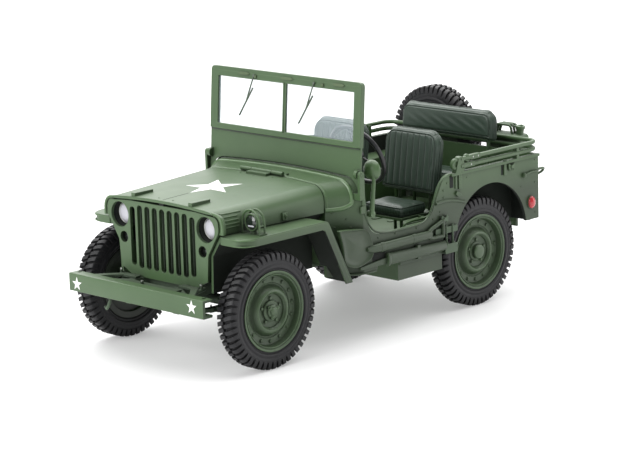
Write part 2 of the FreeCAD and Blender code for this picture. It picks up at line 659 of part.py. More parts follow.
def hood():
    """Thin shell with a hinge barrel whose pins turn in the cowl's barrels."""
    inner = arch_loft([inset(section, HOOD_SHEET) for section in HOOD_SECTIONS])
    shell = arch_loft(HOOD_SECTIONS).cut(inner)
    lip_low = HOOD_TOP_FRONT - CROWN - HOOD_SHEET
    shell = shell.cut(block((SKIRT_FRONT_X, FRONT_X), (-WIDTH, WIDTH), (0, lip_low)))
    barrel = pin((HINGE_X, 0, HINGE_Z), "Y", -HINGE_HOOD_HALF, HINGE_HOOD_HALF, HINGE_R)
    hinge_pin = pin((HINGE_X, 0, HINGE_Z), "Y", -HINGE_HALF + 1.0, HINGE_HALF - 1.0, HINGE_PIN_R)
    leaf = block((HINGE_X + 0.4, HINGE_X + 3.2), (-HINGE_HOOD_HALF, HINGE_HOOD_HALF),
                 (HINGE_Z - HINGE_R - 0.4, HINGE_Z - 0.1))
    # raised rests for the folded windshield
    rest_x = (FRONT_X - 22.8, HOOD_FRONT_X - 0.4)
    rest = block(rest_x, (13.6, 15.4), (HOOD_TOP_FRONT - 1.2, HOOD_TOP_FRONT + 0.9))
    return fused([shell, barrel, hinge_pin, leaf, both(rest)])


def windshield_frame():
    """Bordered frame with two panes and an apron that follows the cowl, and its two pivot pins."""
    x = WINDSHIELD_X
    thin = (x - 0.4, x + 0.4)
    deep = (x - FRAME_DEPTH / 2, x + FRAME_DEPTH / 2)
    apron_low = DOOR_FRONT_TOP + GAP
    apron = block(thin, (-BODY_HALF, BODY_HALF), (apron_low, PANE_LOW))
    sill = PANE_LOW - 1.6
    border = plate([(-BODY_HALF, sill), (BODY_HALF, sill), (BODY_HALF, WINDSHIELD_TOP, 1.6),
                    (-BODY_HALF, WINDSHIELD_TOP, 1.6)], "X", deep[0], deep[1])
    frame = apron.fuse(border)
    for side in (-1, 1):
        y = sorted((side * PANE_GAP / 2, side * PANE_HALF))
        frame = frame.cut(block((x - 5, x + 5), y, (PANE_LOW, PANE_HIGH)))
    for ends in ((x - 5, thin[0]), (thin[1], x + 5)):
        frame = frame.cut(block(ends, (-PANE_GAP, PANE_GAP), (PANE_LOW, PANE_HIGH)))
    frame = rake(frame)
    frame = frame.cut(cowl_clearance())
    px, pz = WINDSHIELD_PIVOT
    ear = pin((px, 0, pz), "Y", BODY_HALF - 1.4, BODY_HALF, 1.6)
    ear = ear.fuse(pin((px, 0, pz), "Y", BODY_HALF - 0.4, BODY_HALF + GAP + 1.1, PIVOT_R))
    return fused([frame, both(ear)])


def rake(shape):
    return turned(shape, (WINDSHIELD_X, 0, COWL_TOP - 1.4), (0, 1, 0), -WINDSHIELD_RAKE)


def cowl_clearance():
    grown = []
    for x, half, low, top, shoulder in COWL_SECTIONS:
        grown.append((x, half + APRON_GAP, low, top + APRON_GAP, shoulder + APRON_GAP))
    rear = grown[0]
    behind = (rear[0] - 3.0,) + rear[1:]
    return arch_loft([behind, rear]).fuse(arch_loft(grown))


def windshield_glass():
    panes = []
    for side in (-1, 1):
        y = sorted((side * PANE_GAP / 2, side * PANE_HALF))
        panes.append(rake(block((WINDSHIELD_X - 0.25, WINDSHIELD_X + 0.25), y, (PANE_LOW, PANE_HIGH))))
    return Part.makeCompound(panes)


def wipers():
    """Two hanging wipers in front of the panes, each an arm with its blade."""
    x = WINDSHIELD_X + FRAME_DEPTH / 2
    arms = []
    for top_y in (-15.3, 15.0):
        elbow = (x + 0.35, top_y - 3.7, PANE_HIGH - 8.6)
        arm = rod((x + 0.35, top_y, PANE_HIGH + 1.2), elbow, 0.25)
        blade = rod((x + 0.35, top_y - 0.4, PANE_HIGH - 3.4), (x + 0.35, top_y - 7.0, PANE_HIGH - 13.8), 0.3)
        stud = pin((0, top_y, PANE_HIGH + 1.2), "X", x, x + 0.6, 0.45)
        arms.append(rake(fused([arm, blade, stud])))
    return Part.makeCompound(arms)


# ---------------------------------------------------------------- front end
def grille():
    """Flat panel with nine round-ended slots and the holes of the lamps."""
    half = HOOD_HALF_FRONT + 0.2
    shoulder = half - 11.3
    waist = APRON_Y + 0.25
    foot = APRON_Y - 0.45
    left = [(shoulder, GRILLE_TOP, 3.0), (half - 0.4, GRILLE_TOP - 0.9, 2.6), (half, 48.5, 4.0),
            (waist, 39.7, 3.0), (foot, 30.5), (foot - 6.2, RAIL_TOP)]
    shape = left + [(-corner[0],) + corner[1:] for corner in reversed(left)]
    back = GRILLE_FACE_X - GRILLE_DEPTH
    panel = plate(shape, "X", back, GRILLE_FACE_X)
    for index in range(-4, 5):
        y = index * SLOT_PITCH
        outer = abs(index) == 4
        low = SLOT_LOW + (0.7 if outer else 0)
        high = SLOT_HIGH - (0.8 if outer else 0)
        reach = SLOT_WIDTH / 2
        end_r = reach * 0.95
        slot = plate([(y - reach, low, end_r), (y + reach, low, end_r), (y + reach, high, end_r),
                      (y - reach, high, end_r)], "X", back - 1, GRILLE_FACE_X + 1)
        panel = panel.cut(slot)
    for y, z, radius in (HEADLIGHT, MARKER):
        panel = panel.cut(both(pin((0, y, z), "X", back - 1, GRILLE_FACE_X + 1, radius)))
    return panel


def lamp(y, z, radius, depth, recess):
    """A round lamp behind the grille, its rim against the plate and its lens set back."""
    face = GRILLE_FACE_X - GRILLE_DEPTH
    profile = [(radius + 0.5, 0.0), (radius, 0.0), (radius, -recess), (0.0, -recess + 0.4),
               (0.0, -depth), (radius * 0.5, -depth), (radius + 0.5, -recess - 0.4)]
    return spun(profile, (face, y, z), "X")


def lamps():
    y, z, radius = HEADLIGHT
    marker_y, marker_z, marker_r = MARKER
    return {
        "headlights": pair(lamp(y, z, radius, 7.5, 1.6)),
        "marker_lamps": pair(lamp(marker_y, marker_z, marker_r, 3.6, 1.0)),
    }


def radiator():
    face = GRILLE_FACE_X - GRILLE_DEPTH
    return block((face - 5.2, face - 1.2), (-RADIATOR_HALF, RADIATOR_HALF), (RAIL_TOP, 53.0))


def fender():
    """Left front fender: flat top with a rounded front corner, sloping rear part, turned-down lip and apron."""
    back_x, foot_z = FENDER_FOOT
    front = GRILLE_FACE_X - 0.9

    def profile(depth):
        slope = math.atan2(FENDER_TOP - foot_z, FENDER_BEND_X - back_x)
        shift = depth * math.tan(slope / 2)
        run = depth / math.sin(slope)
        under = FENDER_TOP - depth
        return [(front, FENDER_TOP), (FENDER_BEND_X, FENDER_TOP, 2.0), (back_x, foot_z),
                (back_x + run, foot_z), (FENDER_BEND_X + shift, under, 1.0), (front, under)]

    def plan(margin):
        return plate([(front - margin, 0), (front - margin, FENDER_HALF - margin, FENDER_CORNER - margin),
                      (back_x - 2, FENDER_HALF - margin), (back_x - 2, 0)], "Z", 0, WINDSHIELD_TOP)

    inner_y = HOOD_HALF_FRONT - 0.4
    skin = plate(profile(FENDER_SHEET), "Y", inner_y, FENDER_HALF).common(plan(0.0))
    lip = plate(profile(FENDER_LIP), "Y", inner_y, FENDER_HALF).common(plan(0.0)).cut(plan(0.8))
    apron_back = HOOD_BACK_X
    apron_front = GRILLE_FACE_X - GRILLE_DEPTH
    apron_low = RAIL_TOP - 1.0
    apron = plate([(APRON_Y, apron_low), (APRON_Y + 0.4, 39.7), (HOOD_HALF_FRONT - 0.5, FENDER_TOP),
                   (HOOD_HALF_FRONT + 0.9, FENDER_TOP), (APRON_Y + 1.4, 39.4), (APRON_Y + 1.0, apron_low)],
                  "X", apron_back, apron_front)
    cowl_body = arch_loft(COWL_SECTIONS)
    grille_body = block((GRILLE_FACE_X - GRILLE_DEPTH, GRILLE_FACE_X + 1), (0, HOOD_HALF_FRONT + 0.3), (0, 60))
    return fused([skin, lip, apron]).cut(cowl_body).cut(grille_body).removeSplitter()


def front_bumper():
    """A channel open to the rear, with flat braces out from the frame rails."""
    half = BUMPER_HALF
    face = block((FRONT_X - SHEET, FRONT_X), (-half, half), (BUMPER_LOW, BUMPER_HIGH))
    back = FRONT_X - BUMPER_DEPTH
    top = block((back, FRONT_X), (-half, half), (BUMPER_HIGH - BUMPER_SHEET, BUMPER_HIGH))
    low = block((back, FRONT_X), (-half, half), (BUMPER_LOW, BUMPER_LOW + BUMPER_SHEET))
    holes = both(pin((FRONT_X - 3.0, half - 2.6, 0), "Z", 0, 40, 0.8))
    outer_rail = RAIL_Y + RAIL_WIDTH / 2
    brace = plate([(back + 0.5, outer_rail + 10.0), (back + 0.5, outer_rail + 12.6),
                   (FRONT_X - 13.0, outer_rail + 5.2, 1.0), (FRONT_X - 13.0, RAIL_Y - 1.0),
                   (FRONT_X - 10.6, RAIL_Y - 1.0), (FRONT_X - 10.6, outer_rail + 3.8, 0.8)],
                  "Z", RAIL_TOP, RAIL_TOP + 0.9)
    return fused([face, top.cut(holes), low.cut(holes), both(brace)])


def blackout_lamp():
    """Round lamp under a wire arch on the left fender."""
    x, y, z = FRONT_X - 25.3, HOOD_HALF_FRONT + 5.5, 51.2
    body = spun([(2.7, 1.6), (0.0, 1.6), (0.0, -2.2), (1.6, -2.2), (2.7, -0.4)], (x, y, z), "X")
    stem = block((x - 0.8, x + 0.8), (y - 0.8, y + 0.8), (FENDER_TOP, z - 2.0))
    ring = Part.makeTorus(4.1, 0.45, vec(x + 1.0, y, z), vec(1, 0, 0))
    ring = ring.cut(block((x - 9, x + 9), (y - 9, y + 9), (z - 9, FENDER_TOP)))
    foot = both_feet(x, y, z)
    return fused([body, stem, ring] + foot)


def both_feet(x, y, z):
    """Short legs from the lamp's arch down to the fender."""
    return [block((x + 0.5, x + 1.5), (y + side * 2.2 - 0.5, y + side * 2.2 + 0.5), (FENDER_TOP, z - 2.9))
            for side in (-1, 1)]


# ---------------------------------------------------------------- cabin
def column_point(distance):
    """A point on the steering column, measured forward and down from the wheel's centre."""
    tilt = math.radians(STEERING_TILT)
    return STEERING_CENTRE + vec(math.cos(tilt), 0, -math.sin(tilt)) * distance


def column_rod(radius, start, end):
    first = column_point(start)
    last = column_point(end)
    return Part.makeCylinder(radius, end - start, first, last - first)


def steering_column():
    column = column_rod(COLUMN_R, 2.0, 60.0).cut(column_rod(STEERING_STUB_R + FIT, 0.0, 8.0))
    return column.cut(block((HOOD_BACK_X - SHEET, FRONT_X), (-WIDTH, WIDTH), (0, WINDSHIELD_TOP)))


def steering_wheel():
    tilt = math.radians(STEERING_TILT)
    axis = vec(math.cos(tilt), 0, -math.sin(tilt))
    ring = Part.makeTorus(STEERING_RING_R, STEERING_RIM_R, STEERING_CENTRE, axis)
    hub = column_rod(1.7, -0.9, 2.0 - 0.2)
    stub = column_rod(STEERING_STUB_R, 0.0, 7.0)
    up = vec(math.sin(tilt), 0, math.cos(tilt))
    across = vec(0, 1, 0)
    spokes = []
    for degrees in (90, 210, 330):
        angle = math.radians(degrees)
        end = STEERING_CENTRE + (across * math.cos(angle) + up * math.sin(angle)) * STEERING_RING_R
        spokes.append(Part.makeCylinder(0.4, STEERING_RING_R, STEERING_CENTRE, end - STEERING_CENTRE))
    return fused([ring, hub, stub] + spokes)


def levers_and_pedals():
    """Three floor levers with knobs, and three pedals hung from the fire wall."""
    lever_x = COWL_BACK_X - 4.0
    table = [  # foot x, foot y, top x, top y, top z
        (lever_x - 1.0, 0.0, lever_x - 7.0, -0.5, 46.0),
        (lever_x - 4.0, -4.0, lever_x - 8.0, -4.5, 38.5),
        (lever_x - 4.0, -6.5, lever_x - 8.0, -7.0, 38.5),
    ]
    solids = []
    for foot_x, foot_y, top_x, top_y, top_z in table:
        stem = rod((foot_x, foot_y, FLOOR_TOP + LEVER_START), (top_x, top_y, top_z), 0.45)
        base = pin((foot_x, foot_y, 0), "Z", FLOOR_TOP, FLOOR_TOP + 0.9, 1.1)
        solids.append(fused([stem, base, Part.makeSphere(0.95, vec(top_x, top_y, top_z))]))
    wall = HOOD_BACK_X - SHEET
    for y in (SEAT_Y + 5.0, SEAT_Y - 5.0):
        arm = rod((wall - 4.5, y, 39.0), (wall, y, 46.0), 0.45)
        pad = block((wall - 5.6, wall - 4.2), (y - 1.4, y + 1.4), (37.4, 40.4))
        solids.append(fused([arm.cut(block((wall, wall + 5), (y - 5, y + 5), (30, 60))), pad]))
    return Part.makeCompound(solids)


def lean(shape, x, z):
    return turned(shape, (x, 0, z), (0, 1, 0), -BACK_LEAN)


def front_seat_frame():
    """Tube frame of the left front seat: four legs, a tray and a back hoop."""
    y = (SEAT_Y - SEAT_HALF + 1.2, SEAT_Y + SEAT_HALF - 1.2)
    x = (SEAT_BACK_X + 1.2, SEAT_FRONT_X - 1.2)
    tray_low = CUSHION_TOP - CUSHION_DEPTH - 0.8
    tray = block((x[0] - 0.9, x[1] + 0.9), (y[0] - 0.9, y[1] + 0.9), (tray_low, tray_low + 0.8))
    back_x = SEAT_BACK_X - 0.9
    reach = min(BACK_HALF - 4.6, BOX_INNER_Y - 0.95 - SEAT_Y)
    hoop_y = (SEAT_Y - reach, SEAT_Y + reach)
    feet = [(x[0], leg_y) for leg_y in hoop_y] + [(x[1], leg_y) for leg_y in y]
    legs = [rod((leg_x, leg_y, FLOOR_TOP), (leg_x, leg_y, tray_low), TUBE) for leg_x, leg_y in feet]
    top = BACK_HIGH - 2.5
    posts = [rod((back_x, post_y, tray_low), (back_x, post_y, top), TUBE) for post_y in hoop_y]
    bar = rod((back_x, hoop_y[0], top), (back_x, hoop_y[1], top), TUBE)
    elbows = [Part.makeSphere(TUBE, vec(back_x, post_y, top)) for post_y in hoop_y]
    hoop = lean(fused(posts + [bar] + elbows), back_x, tray_low)
    foot = block((back_x - 0.9, x[0]), (hoop_y[0] - 0.6, hoop_y[1] + 0.6), (tray_low, tray_low + 0.8))
    return fused([tray, foot, hoop] + legs)


def front_cushion():
    y = (SEAT_Y - SEAT_HALF, SEAT_Y + SEAT_HALF)
    low = CUSHION_TOP - CUSHION_DEPTH
    return plate([(SEAT_BACK_X + 1.6, y[0], 1.0), (SEAT_FRONT_X, y[0], 2.0), (SEAT_FRONT_X, y[1], 2.0),
                  (SEAT_BACK_X + 1.6, y[1], 1.0)], "Z", low, CUSHION_TOP)


def front_back_pad():
    hoop_x = SEAT_BACK_X - 0.9
    low = hoop_x + TUBE
    y = (SEAT_Y - BACK_HALF, SEAT_Y + BACK_HALF)
    pad = plate([(y[0], BACK_LOW, 2.0), (y[1], BACK_LOW, 2.0), (y[1], BACK_HIGH, 4.5),
                 (y[0], BACK_HIGH, 4.5)], "X", low, low + BACK_DEPTH)
    tray_low = CUSHION_TOP - CUSHION_DEPTH - 0.8
    return lean(pad, hoop_x, tray_low)


def rear_seat_frame():
    x = (REAR_SEAT_X + 1.0, REAR_SEAT_X + REAR_CUSHION_LENGTH - 1.5)
    y = REAR_CUSHION_HALF - 2.0
    tray_low = REAR_CUSHION_TOP - CUSHION_DEPTH - 0.8
    tray = block((REAR_SEAT_X - 2.0, x[1] + 0.8), (-y - 0.8, y + 0.8), (tray_low, tray_low + 0.8))
    feet = [(leg_x, leg_y) for leg_x in x for leg_y in (-y, y)]
    legs = [rod((leg_x, leg_y, FLOOR_TOP), (leg_x, leg_y, tray_low), TUBE) for leg_x, leg_y in feet]
    hoop_x = REAR_SEAT_X - 1.2
    top = REAR_BACK_HIGH - 2.0
    posts = [rod((hoop_x, side * y, tray_low), (hoop_x, side * y, top), TUBE) for side in (-1, 1)]
    bar = rod((hoop_x, -y, top), (hoop_x, y, top), TUBE)
    elbows = [Part.makeSphere(TUBE, vec(hoop_x, side * y, top)) for side in (-1, 1)]
    hoop = rear_lean(fused(posts + [bar] + elbows))
    return fused([tray, hoop] + legs)


def rear_lean(shape):
    return turned(shape, (REAR_SEAT_X, 0, REAR_CUSHION_TOP), (0, 1, 0), -BACK_LEAN / 2)


def rear_cushion():
    half = REAR_CUSHION_HALF
    low = REAR_CUSHION_TOP - CUSHION_DEPTH
    front = REAR_SEAT_X + REAR_CUSHION_LENGTH
    return plate([(REAR_SEAT_X, -half, 1.0), (front, -half, 2.0), (front, half, 2.0),
                  (REAR_SEAT_X, half, 1.0)], "Z", low, REAR_CUSHION_TOP)


def rear_back_pad():
    low_x = REAR_SEAT_X - 1.2 + TUBE
    half = REAR_BACK_HALF
    pad = plate([(-half, REAR_BACK_LOW, 1.5), (half, REAR_BACK_LOW, 1.5), (half, REAR_BACK_HIGH, 4.5),
                 (-half, REAR_BACK_HIGH, 4.5)], "X", low_x, low_x + BACK_DEPTH)
    return rear_lean(pad)


def seats():
    return {
        "front_seat_frames": pair(front_seat_frame()),
        "front_seat_cushions": pair(front_cushion()),
        "front_seat_backs": pair(front_back_pad()),
        "rear_seat_frame": rear_seat_frame(),
        "rear_seat_cushion": rear_cushion(),
        "rear_seat_back": rear_back_pad(),
    }


# ---------------------------------------------------------------- load and fittings
def bow(front_x, z):
    """One folded bow: a tube along the left side, round the back and along the right side."""
    y = BODY_HALF + 0.2
    back = TUB_BACK_X - 0.2
    bend = 5.0
    left = [vec(front_x, y, z), vec(back + bend, y, z)]
    turn = bend * math.sqrt(0.5)
    middle = vec(back + bend - turn, y - bend + turn, z)
    corner_end = vec(back, y - bend, z)
    edges = [Part.makeLine(*left), Part.Arc(left[1], middle, corner_end).toShape()]

    def flip(point):
        return vec(point.x, -point.y, point.z)

    edges.append(Part.makeLine(corner_end, flip(corner_end)))
    edges.append(Part.Arc(flip(corner_end), flip(middle), flip(left[1])).toShape())
    edges.append(Part.makeLine(flip(left[1]), flip(left[0])))
    path = Part.Wire(edges)
    ring = Part.Wire([Part.makeCircle(BOW_R, left[0], vec(1, 0, 0))])
    return path.makePipeShell([ring], True, False)


def top_bows():
    """Two folded bows, carried by the pivot plates at their front ends and by two posts each side."""
    low, high = BOW_LEVELS
    y = (BODY_HALF - SHEET, BODY_HALF + 0.8)
    pivot = plate([(BOW_FRONT_X - 1.6, TUB_TOP), (BOW_FRONT_X + 3.0, TUB_TOP),
                   (BOW_FRONT_X + 1.2, high + 1.0, 1.2), (BOW_FRONT_X - 1.6, high + 1.0, 1.2)],
                  "Y", y[0], y[1])
    post = block((TUB_BACK_X + 12.0, TUB_BACK_X + 13.4), y, (TUB_TOP, high))
    return fused([bow(BOW_FRONT_X, low), bow(BOW_FRONT_X, high), both(pivot), both(post)])


def tail_lamps():
    x = TUB_BACK_X + 4.7
    z = 34.7
    body = plate([(x - 1.8, z - 2.4, 1.7), (x + 1.8, z - 2.4, 1.7), (x + 1.8, z + 2.4, 1.7),
                  (x - 1.8, z + 2.4, 1.7)], "Y", BODY_HALF, BODY_HALF + 1.1)
    return pair(body)


def shovel():
    """Blade, shaft and D-shaped grip, strapped flat to the left side."""
    y = BODY_HALF
    front = COWL_BACK_X
    blade = plate([(front - 4.2, 33.0, 1.5), (front - 2.2, 40.0, 1.5), (front + 8.0, 41.4, 1.0),
                   (front + 10.4, 30.6, 1.0), (front + 2.0, 30.2, 1.5)], "Y", y, y + 0.8)
    shaft_y = y + 1.05
    shaft = rod((front + 1.0, shaft_y, 34.4), (DOOR_BACK_X - 4.4, shaft_y, 34.0), 1.0)
    grip_x = DOOR_BACK_X - 4.8
    grip = plate([(grip_x + 1.4, 33.0, 0.8), (grip_x + 1.4, 35.2, 0.8), (grip_x - 4.6, 37.2, 1.0),
                  (grip_x - 6.2, 36.0, 0.8), (grip_x - 6.2, 31.6, 0.8), (grip_x - 4.6, 30.6, 1.0)],
                 "Y", shaft_y - 0.7, shaft_y + 0.7)
    hole = plate([(grip_x - 1.0, 33.8, 0.3), (grip_x - 1.0, 34.3, 0.3), (grip_x - 4.2, 35.6, 0.4),
                  (grip_x - 4.2, 32.2, 0.4)], "Y", y - 2, y + 4)
    return fused([blade, shaft, grip.cut(hole)])


def axe():
    y = BODY_HALF
    front = COWL_BACK_X
    head = plate([(front - 1.4, 25.2), (front - 0.6, 30.0, 0.5), (front - 4.6, 29.4),
                  (front - 7.6, 29.8, 0.3), (front - 7.6, 27.6, 0.3), (front - 4.6, 27.8)], "Y", y, y + 1.4)
    handle = rod((front - 3.0, y + 0.8, 28.8), (DOOR_BACK_X + 1.0, y + 0.8, 29.6), 0.75)
    return fused([head, handle])


def mirror():
    """Round mirror with a domed back on a stalk at the left side of the cowl."""
    x, y, z = COWL_BACK_X - 7.4, BODY_HALF - 1.6, 60.3
    radius = 3.7
    outline = [(0.0, 0.0), (radius, 0.0), (radius, 0.7), (2.9, 1.5), (1.5, 2.0), (0.0, 2.2)]
    dome = spun(outline, (x, y, z), "X")
    base_z = 45.0
    stalk_x = COWL_BACK_X - 1.0
    stalk_y = BODY_HALF + 0.9
    elbow_at = (x + 2.3, stalk_y, z - 1.0)
    foot = pin((stalk_x, 0, base_z), "Y", BODY_HALF, stalk_y, 0.9)
    lower = rod((stalk_x, stalk_y, base_z), elbow_at, 0.6)
    upper = rod(elbow_at, (x + 1.0, y, z), 0.6)
    elbow = Part.makeSphere(0.6, vec(*elbow_at))
    return fused([dome, foot, lower, elbow, upper])


def spare_carrier():
    """Bracket plate and post that hold the spare wheel off the rear panel."""
    front = TUB_BACK_X
    back = SPARE_X + TYRE_WIDTH / 2
    plate_z = (SPARE_Z - 13.0, TUB_TOP - 1.0)
    low, high = plate_z
    base = plate([(SPARE_Y - 6.0, low, 1.5), (SPARE_Y + 6.0, low, 1.5), (SPARE_Y + 6.0, high, 1.5),
                  (SPARE_Y - 6.0, high, 1.5)], "X", front - 0.7, front)
    post = pin((0, SPARE_Y, SPARE_Z), "X", back, front, 1.1)
    arm = block((back, front), (SPARE_Y - 3.0, SPARE_Y + 3.0), (plate_z[1] - 4.0, SPARE_Z - 1.0))
    carrier = fused([base, post, arm])
    return carrier.cut(block((front, front + 9), (-WIDTH, WIDTH), (0, TUB_TOP)))


def jerrycan():
    depth, width, height = CAN_SIZE
    front = TUB_BACK_X - CAN_STAND_OFF
    low = CAN_LOW
    body = plate([(CAN_Y - width / 2, low, 1.5), (CAN_Y + width / 2, low, 1.5),
                  (CAN_Y + width / 2, low + height - 2.6, 1.5), (CAN_Y + width / 2 - 3.4, low + height, 1.0),
                  (CAN_Y - width / 2, low + height, 1.5)], "X", front - depth, front)
    top = low + height
    middle = front - depth / 2
    neck = rod((middle, CAN_Y + 4.6, top - 0.8), (middle, CAN_Y + 5.6, top + 1.6), 1.7)
    outline = [
        (CAN_Y - 6.0, top - 0.5), (CAN_Y - 5.2, top + 2.4, 1.0), (CAN_Y + 1.6, top + 2.4, 1.0),
        (CAN_Y + 2.4, top - 0.5), (CAN_Y + 1.2, top - 0.5), (CAN_Y + 0.8, top + 1.3, 0.4),
        (CAN_Y - 4.4, top + 1.3, 0.4), (CAN_Y - 4.8, top - 0.5),
    ]
    handles = [plate(outline, "X", x - 0.4, x + 0.4) for x in (middle - 1.6, middle + 1.6)]
    return fused([body, neck] + handles)


def jerrycan_rack():
    """Tray with low walls and a strap plate, fixed to the rear panel."""
    depth, width, height = CAN_SIZE
    front = TUB_BACK_X
    low = CAN_LOW
    half = width / 2
    back = front - CAN_STAND_OFF - depth
    wall = 0.6
    wide = (CAN_Y - half - wall, CAN_Y + half + wall)
    rim_z = (low - 0.9, low + 3.0)
    backing = block((front - CAN_STAND_OFF, front), (CAN_Y - half, CAN_Y + half), (low - 0.9, low + 12.0))
    tray = block((back - wall, front - CAN_STAND_OFF), wide, (low - 0.9, low))
    lip = block((back - wall, back), wide, rim_z)
    right_end = block((back - wall, front), (wide[0], CAN_Y - half), rim_z)
    left_end = block((back - wall, front), (CAN_Y + half, wide[1]), rim_z)
    return fused([backing, tray, lip, right_end, left_end])


def rear_bumperettes():
    """Two short bumper sections and a tow hook plate at the ends of the frame."""
    front = TUB_BACK_X
    rail = (RAIL_Y - RAIL_WIDTH / 2, RAIL_Y + RAIL_WIDTH / 2)
    y = (rail[0] - 1.0, RAIL_Y + 13.0)
    back = front - 3.2
    face = block((back, front - 2.2), y, (RAIL_BOTTOM - 1.0, RAIL_TOP + 0.6))
    top = block((back, front), (y[0], rail[1] + 1.0), (RAIL_TOP - 0.6, RAIL_TOP))
    web = block((back, front), rail, (RAIL_BOTTOM, RAIL_TOP))
    return pair(fused([face, top, web]))


def tow_hook():
    front = TUB_BACK_X
    base = block((front - 0.8, front), (-3.0, 3.0), (RAIL_BOTTOM, RAIL_TOP))
    hook = Part.makeTorus(1.5, 0.6, vec(front - 2.6, 0, RAIL_BOTTOM + 2.0), vec(0, 1, 0))
    return fused([base, hook])


# ---------------------------------------------------------------- the set of nodes
def all_nodes():
    left_knuckle = knuckle()
    left_fender = fender()
    springs = pair(leaf_spring(FRONT_AXLE_X)).Solids + pair(leaf_spring(REAR_AXLE_X)).Solids
    nodes = {
        "frame_rails": frame_rails(),
        "leaf_springs": Part.makeCompound(springs),
        "front_axle": front_axle(),
        "rear_axle": rear_axle(),
        "steering_knuckle_left": left_knuckle,
        "steering_knuckle_right": mirrored(left_knuckle),
        "tie_rod": tie_rod(),
        "engine_block": engine_block(),
        "gearbox": gearbox(),
        "drive_shafts": drive_shafts(),
        "exhaust": exhaust(),
        "cowl": cowl(),
        "dashboard": dashboard(),
        "hood": hood(),
        "windshield_frame": windshield_frame(),
        "windshield_glass": windshield_glass(),
        "wipers": wipers(),
        "grille": grille(),
        "radiator": radiator(),
        "fender_left": left_fender,
        "fender_right": mirrored(left_fender),
        "front_bumper": front_bumper(),
        "blackout_lamp": blackout_lamp(),
        "steering_column": steering_column(),
        "steering_wheel": steering_wheel(),
        "levers_and_pedals": levers_and_pedals(),
        "top_bows": top_bows(),
        "tail_lamps": tail_lamps(),
        "shovel": shovel(),
        "axe": axe(),
        "mirror": mirror(),
        "spare_carrier": spare_carrier(),
        "fuel_can": jerrycan(),
        "fuel_can_rack": jerrycan_rack(),
        "rear_bumperettes": rear_bumperettes(),
        "tow_hook": tow_hook(),
    }
    for group in (wheels(), tub(), lamps(), seats()):
        nodes.update(group)
    return nodes


def main():
    os.makedirs("parts", exist_ok=True)
    for name, shape in sorted(all_nodes().items()):
        if not shape.isValid() or not shape.Solids:
            raise ValueError(name + " is not a valid solid")
        shape.exportStep("parts/" + name + ".step")
        print(name, len(shape.Solids), round(shape.Volume, 2))


main()
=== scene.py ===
import json
import math

import bmesh
import bpy
from bpy.props import FloatProperty, FloatVectorProperty, IntProperty, PointerProperty
from mathutils import Matrix, Vector
from mathutils.bvhtree import BVHTree


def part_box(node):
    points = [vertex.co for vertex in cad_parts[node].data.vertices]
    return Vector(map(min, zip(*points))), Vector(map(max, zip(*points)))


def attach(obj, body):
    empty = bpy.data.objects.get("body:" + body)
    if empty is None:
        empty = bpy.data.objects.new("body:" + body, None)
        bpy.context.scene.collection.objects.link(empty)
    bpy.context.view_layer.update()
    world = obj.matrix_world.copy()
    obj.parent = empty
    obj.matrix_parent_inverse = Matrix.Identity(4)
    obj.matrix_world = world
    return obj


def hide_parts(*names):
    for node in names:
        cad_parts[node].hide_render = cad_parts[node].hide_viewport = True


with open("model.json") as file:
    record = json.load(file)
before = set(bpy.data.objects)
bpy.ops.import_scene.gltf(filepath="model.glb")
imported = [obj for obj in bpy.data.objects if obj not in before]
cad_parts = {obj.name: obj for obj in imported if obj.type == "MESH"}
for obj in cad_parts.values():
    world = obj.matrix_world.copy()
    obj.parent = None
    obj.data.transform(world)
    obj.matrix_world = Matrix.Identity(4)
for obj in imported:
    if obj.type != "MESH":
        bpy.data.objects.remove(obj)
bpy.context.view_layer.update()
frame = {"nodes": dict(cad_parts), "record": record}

bl_info = {
    "name": "Open Utility Car",
    "version": (1, 0, 0),
    "blender": (4, 5, 0),
    "location": "View3D > Sidebar > Utility Car",
    "description": "Builds the finish and the small pieces of a 180 mm open utility car model",
    "category": "Add Mesh",
}

# Lengths inside the shape functions are millimetres; meshes are made in metres. +X forward, +Y left, +Z up.
MM = 0.001
LEFT, RIGHT = 1, -1


def node_box(node):
    """A CAD node's (lowest, highest) corner in millimetres."""
    low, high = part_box(node)
    return Vector(low) / MM, Vector(high) / MM


BODY_SIDE = node_box("side_panel_left")[1].y - 0.8      # outer face of the tub's side
TUB_BACK = node_box("rear_panel")[0].x
COWL_BACK = node_box("dashboard")[0].x - 0.2
HOOD_HIGH = node_box("hood")[1]
GRILLE_FACE = node_box("grille")[1].x
BUMPER_LOW, BUMPER_HIGH = node_box("front_bumper")
WHEELS = {  # tyre node: (rim node, body, turn axis, outward direction)
    "tyre_front_left": ("rim_front_left", "wheel_front_left", "Y", 1),
    "tyre_front_right": ("rim_front_right", "wheel_front_right", "Y", -1),
    "tyre_rear_left": ("rim_rear_left", "wheel_rear_left", "Y", 1),
    "tyre_rear_right": ("rim_rear_right", "wheel_rear_right", "Y", -1),
    "spare_tyre": ("spare_rim", "root", "X", -1),
}


# ---------------------------------------------------------------- sizes and colours
def length(name, description, default):
    return FloatProperty(name=name, description=description, default=default * MM, min=0.0,
                         subtype="DISTANCE", unit="LENGTH")


def colour(name, description, default):
    return FloatVectorProperty(name=name, description=description, default=default, size=3,
                               min=0.0, max=1.0, subtype="COLOR")


def place(name, description, default):
    return FloatVectorProperty(name=name, description=description, default=[value * MM for value in default],
                               size=3, subtype="TRANSLATION", unit="LENGTH")


def angle(name, description, degrees):
    return FloatProperty(name=name, description=description, default=math.radians(degrees),
                         subtype="ANGLE", unit="ROTATION")


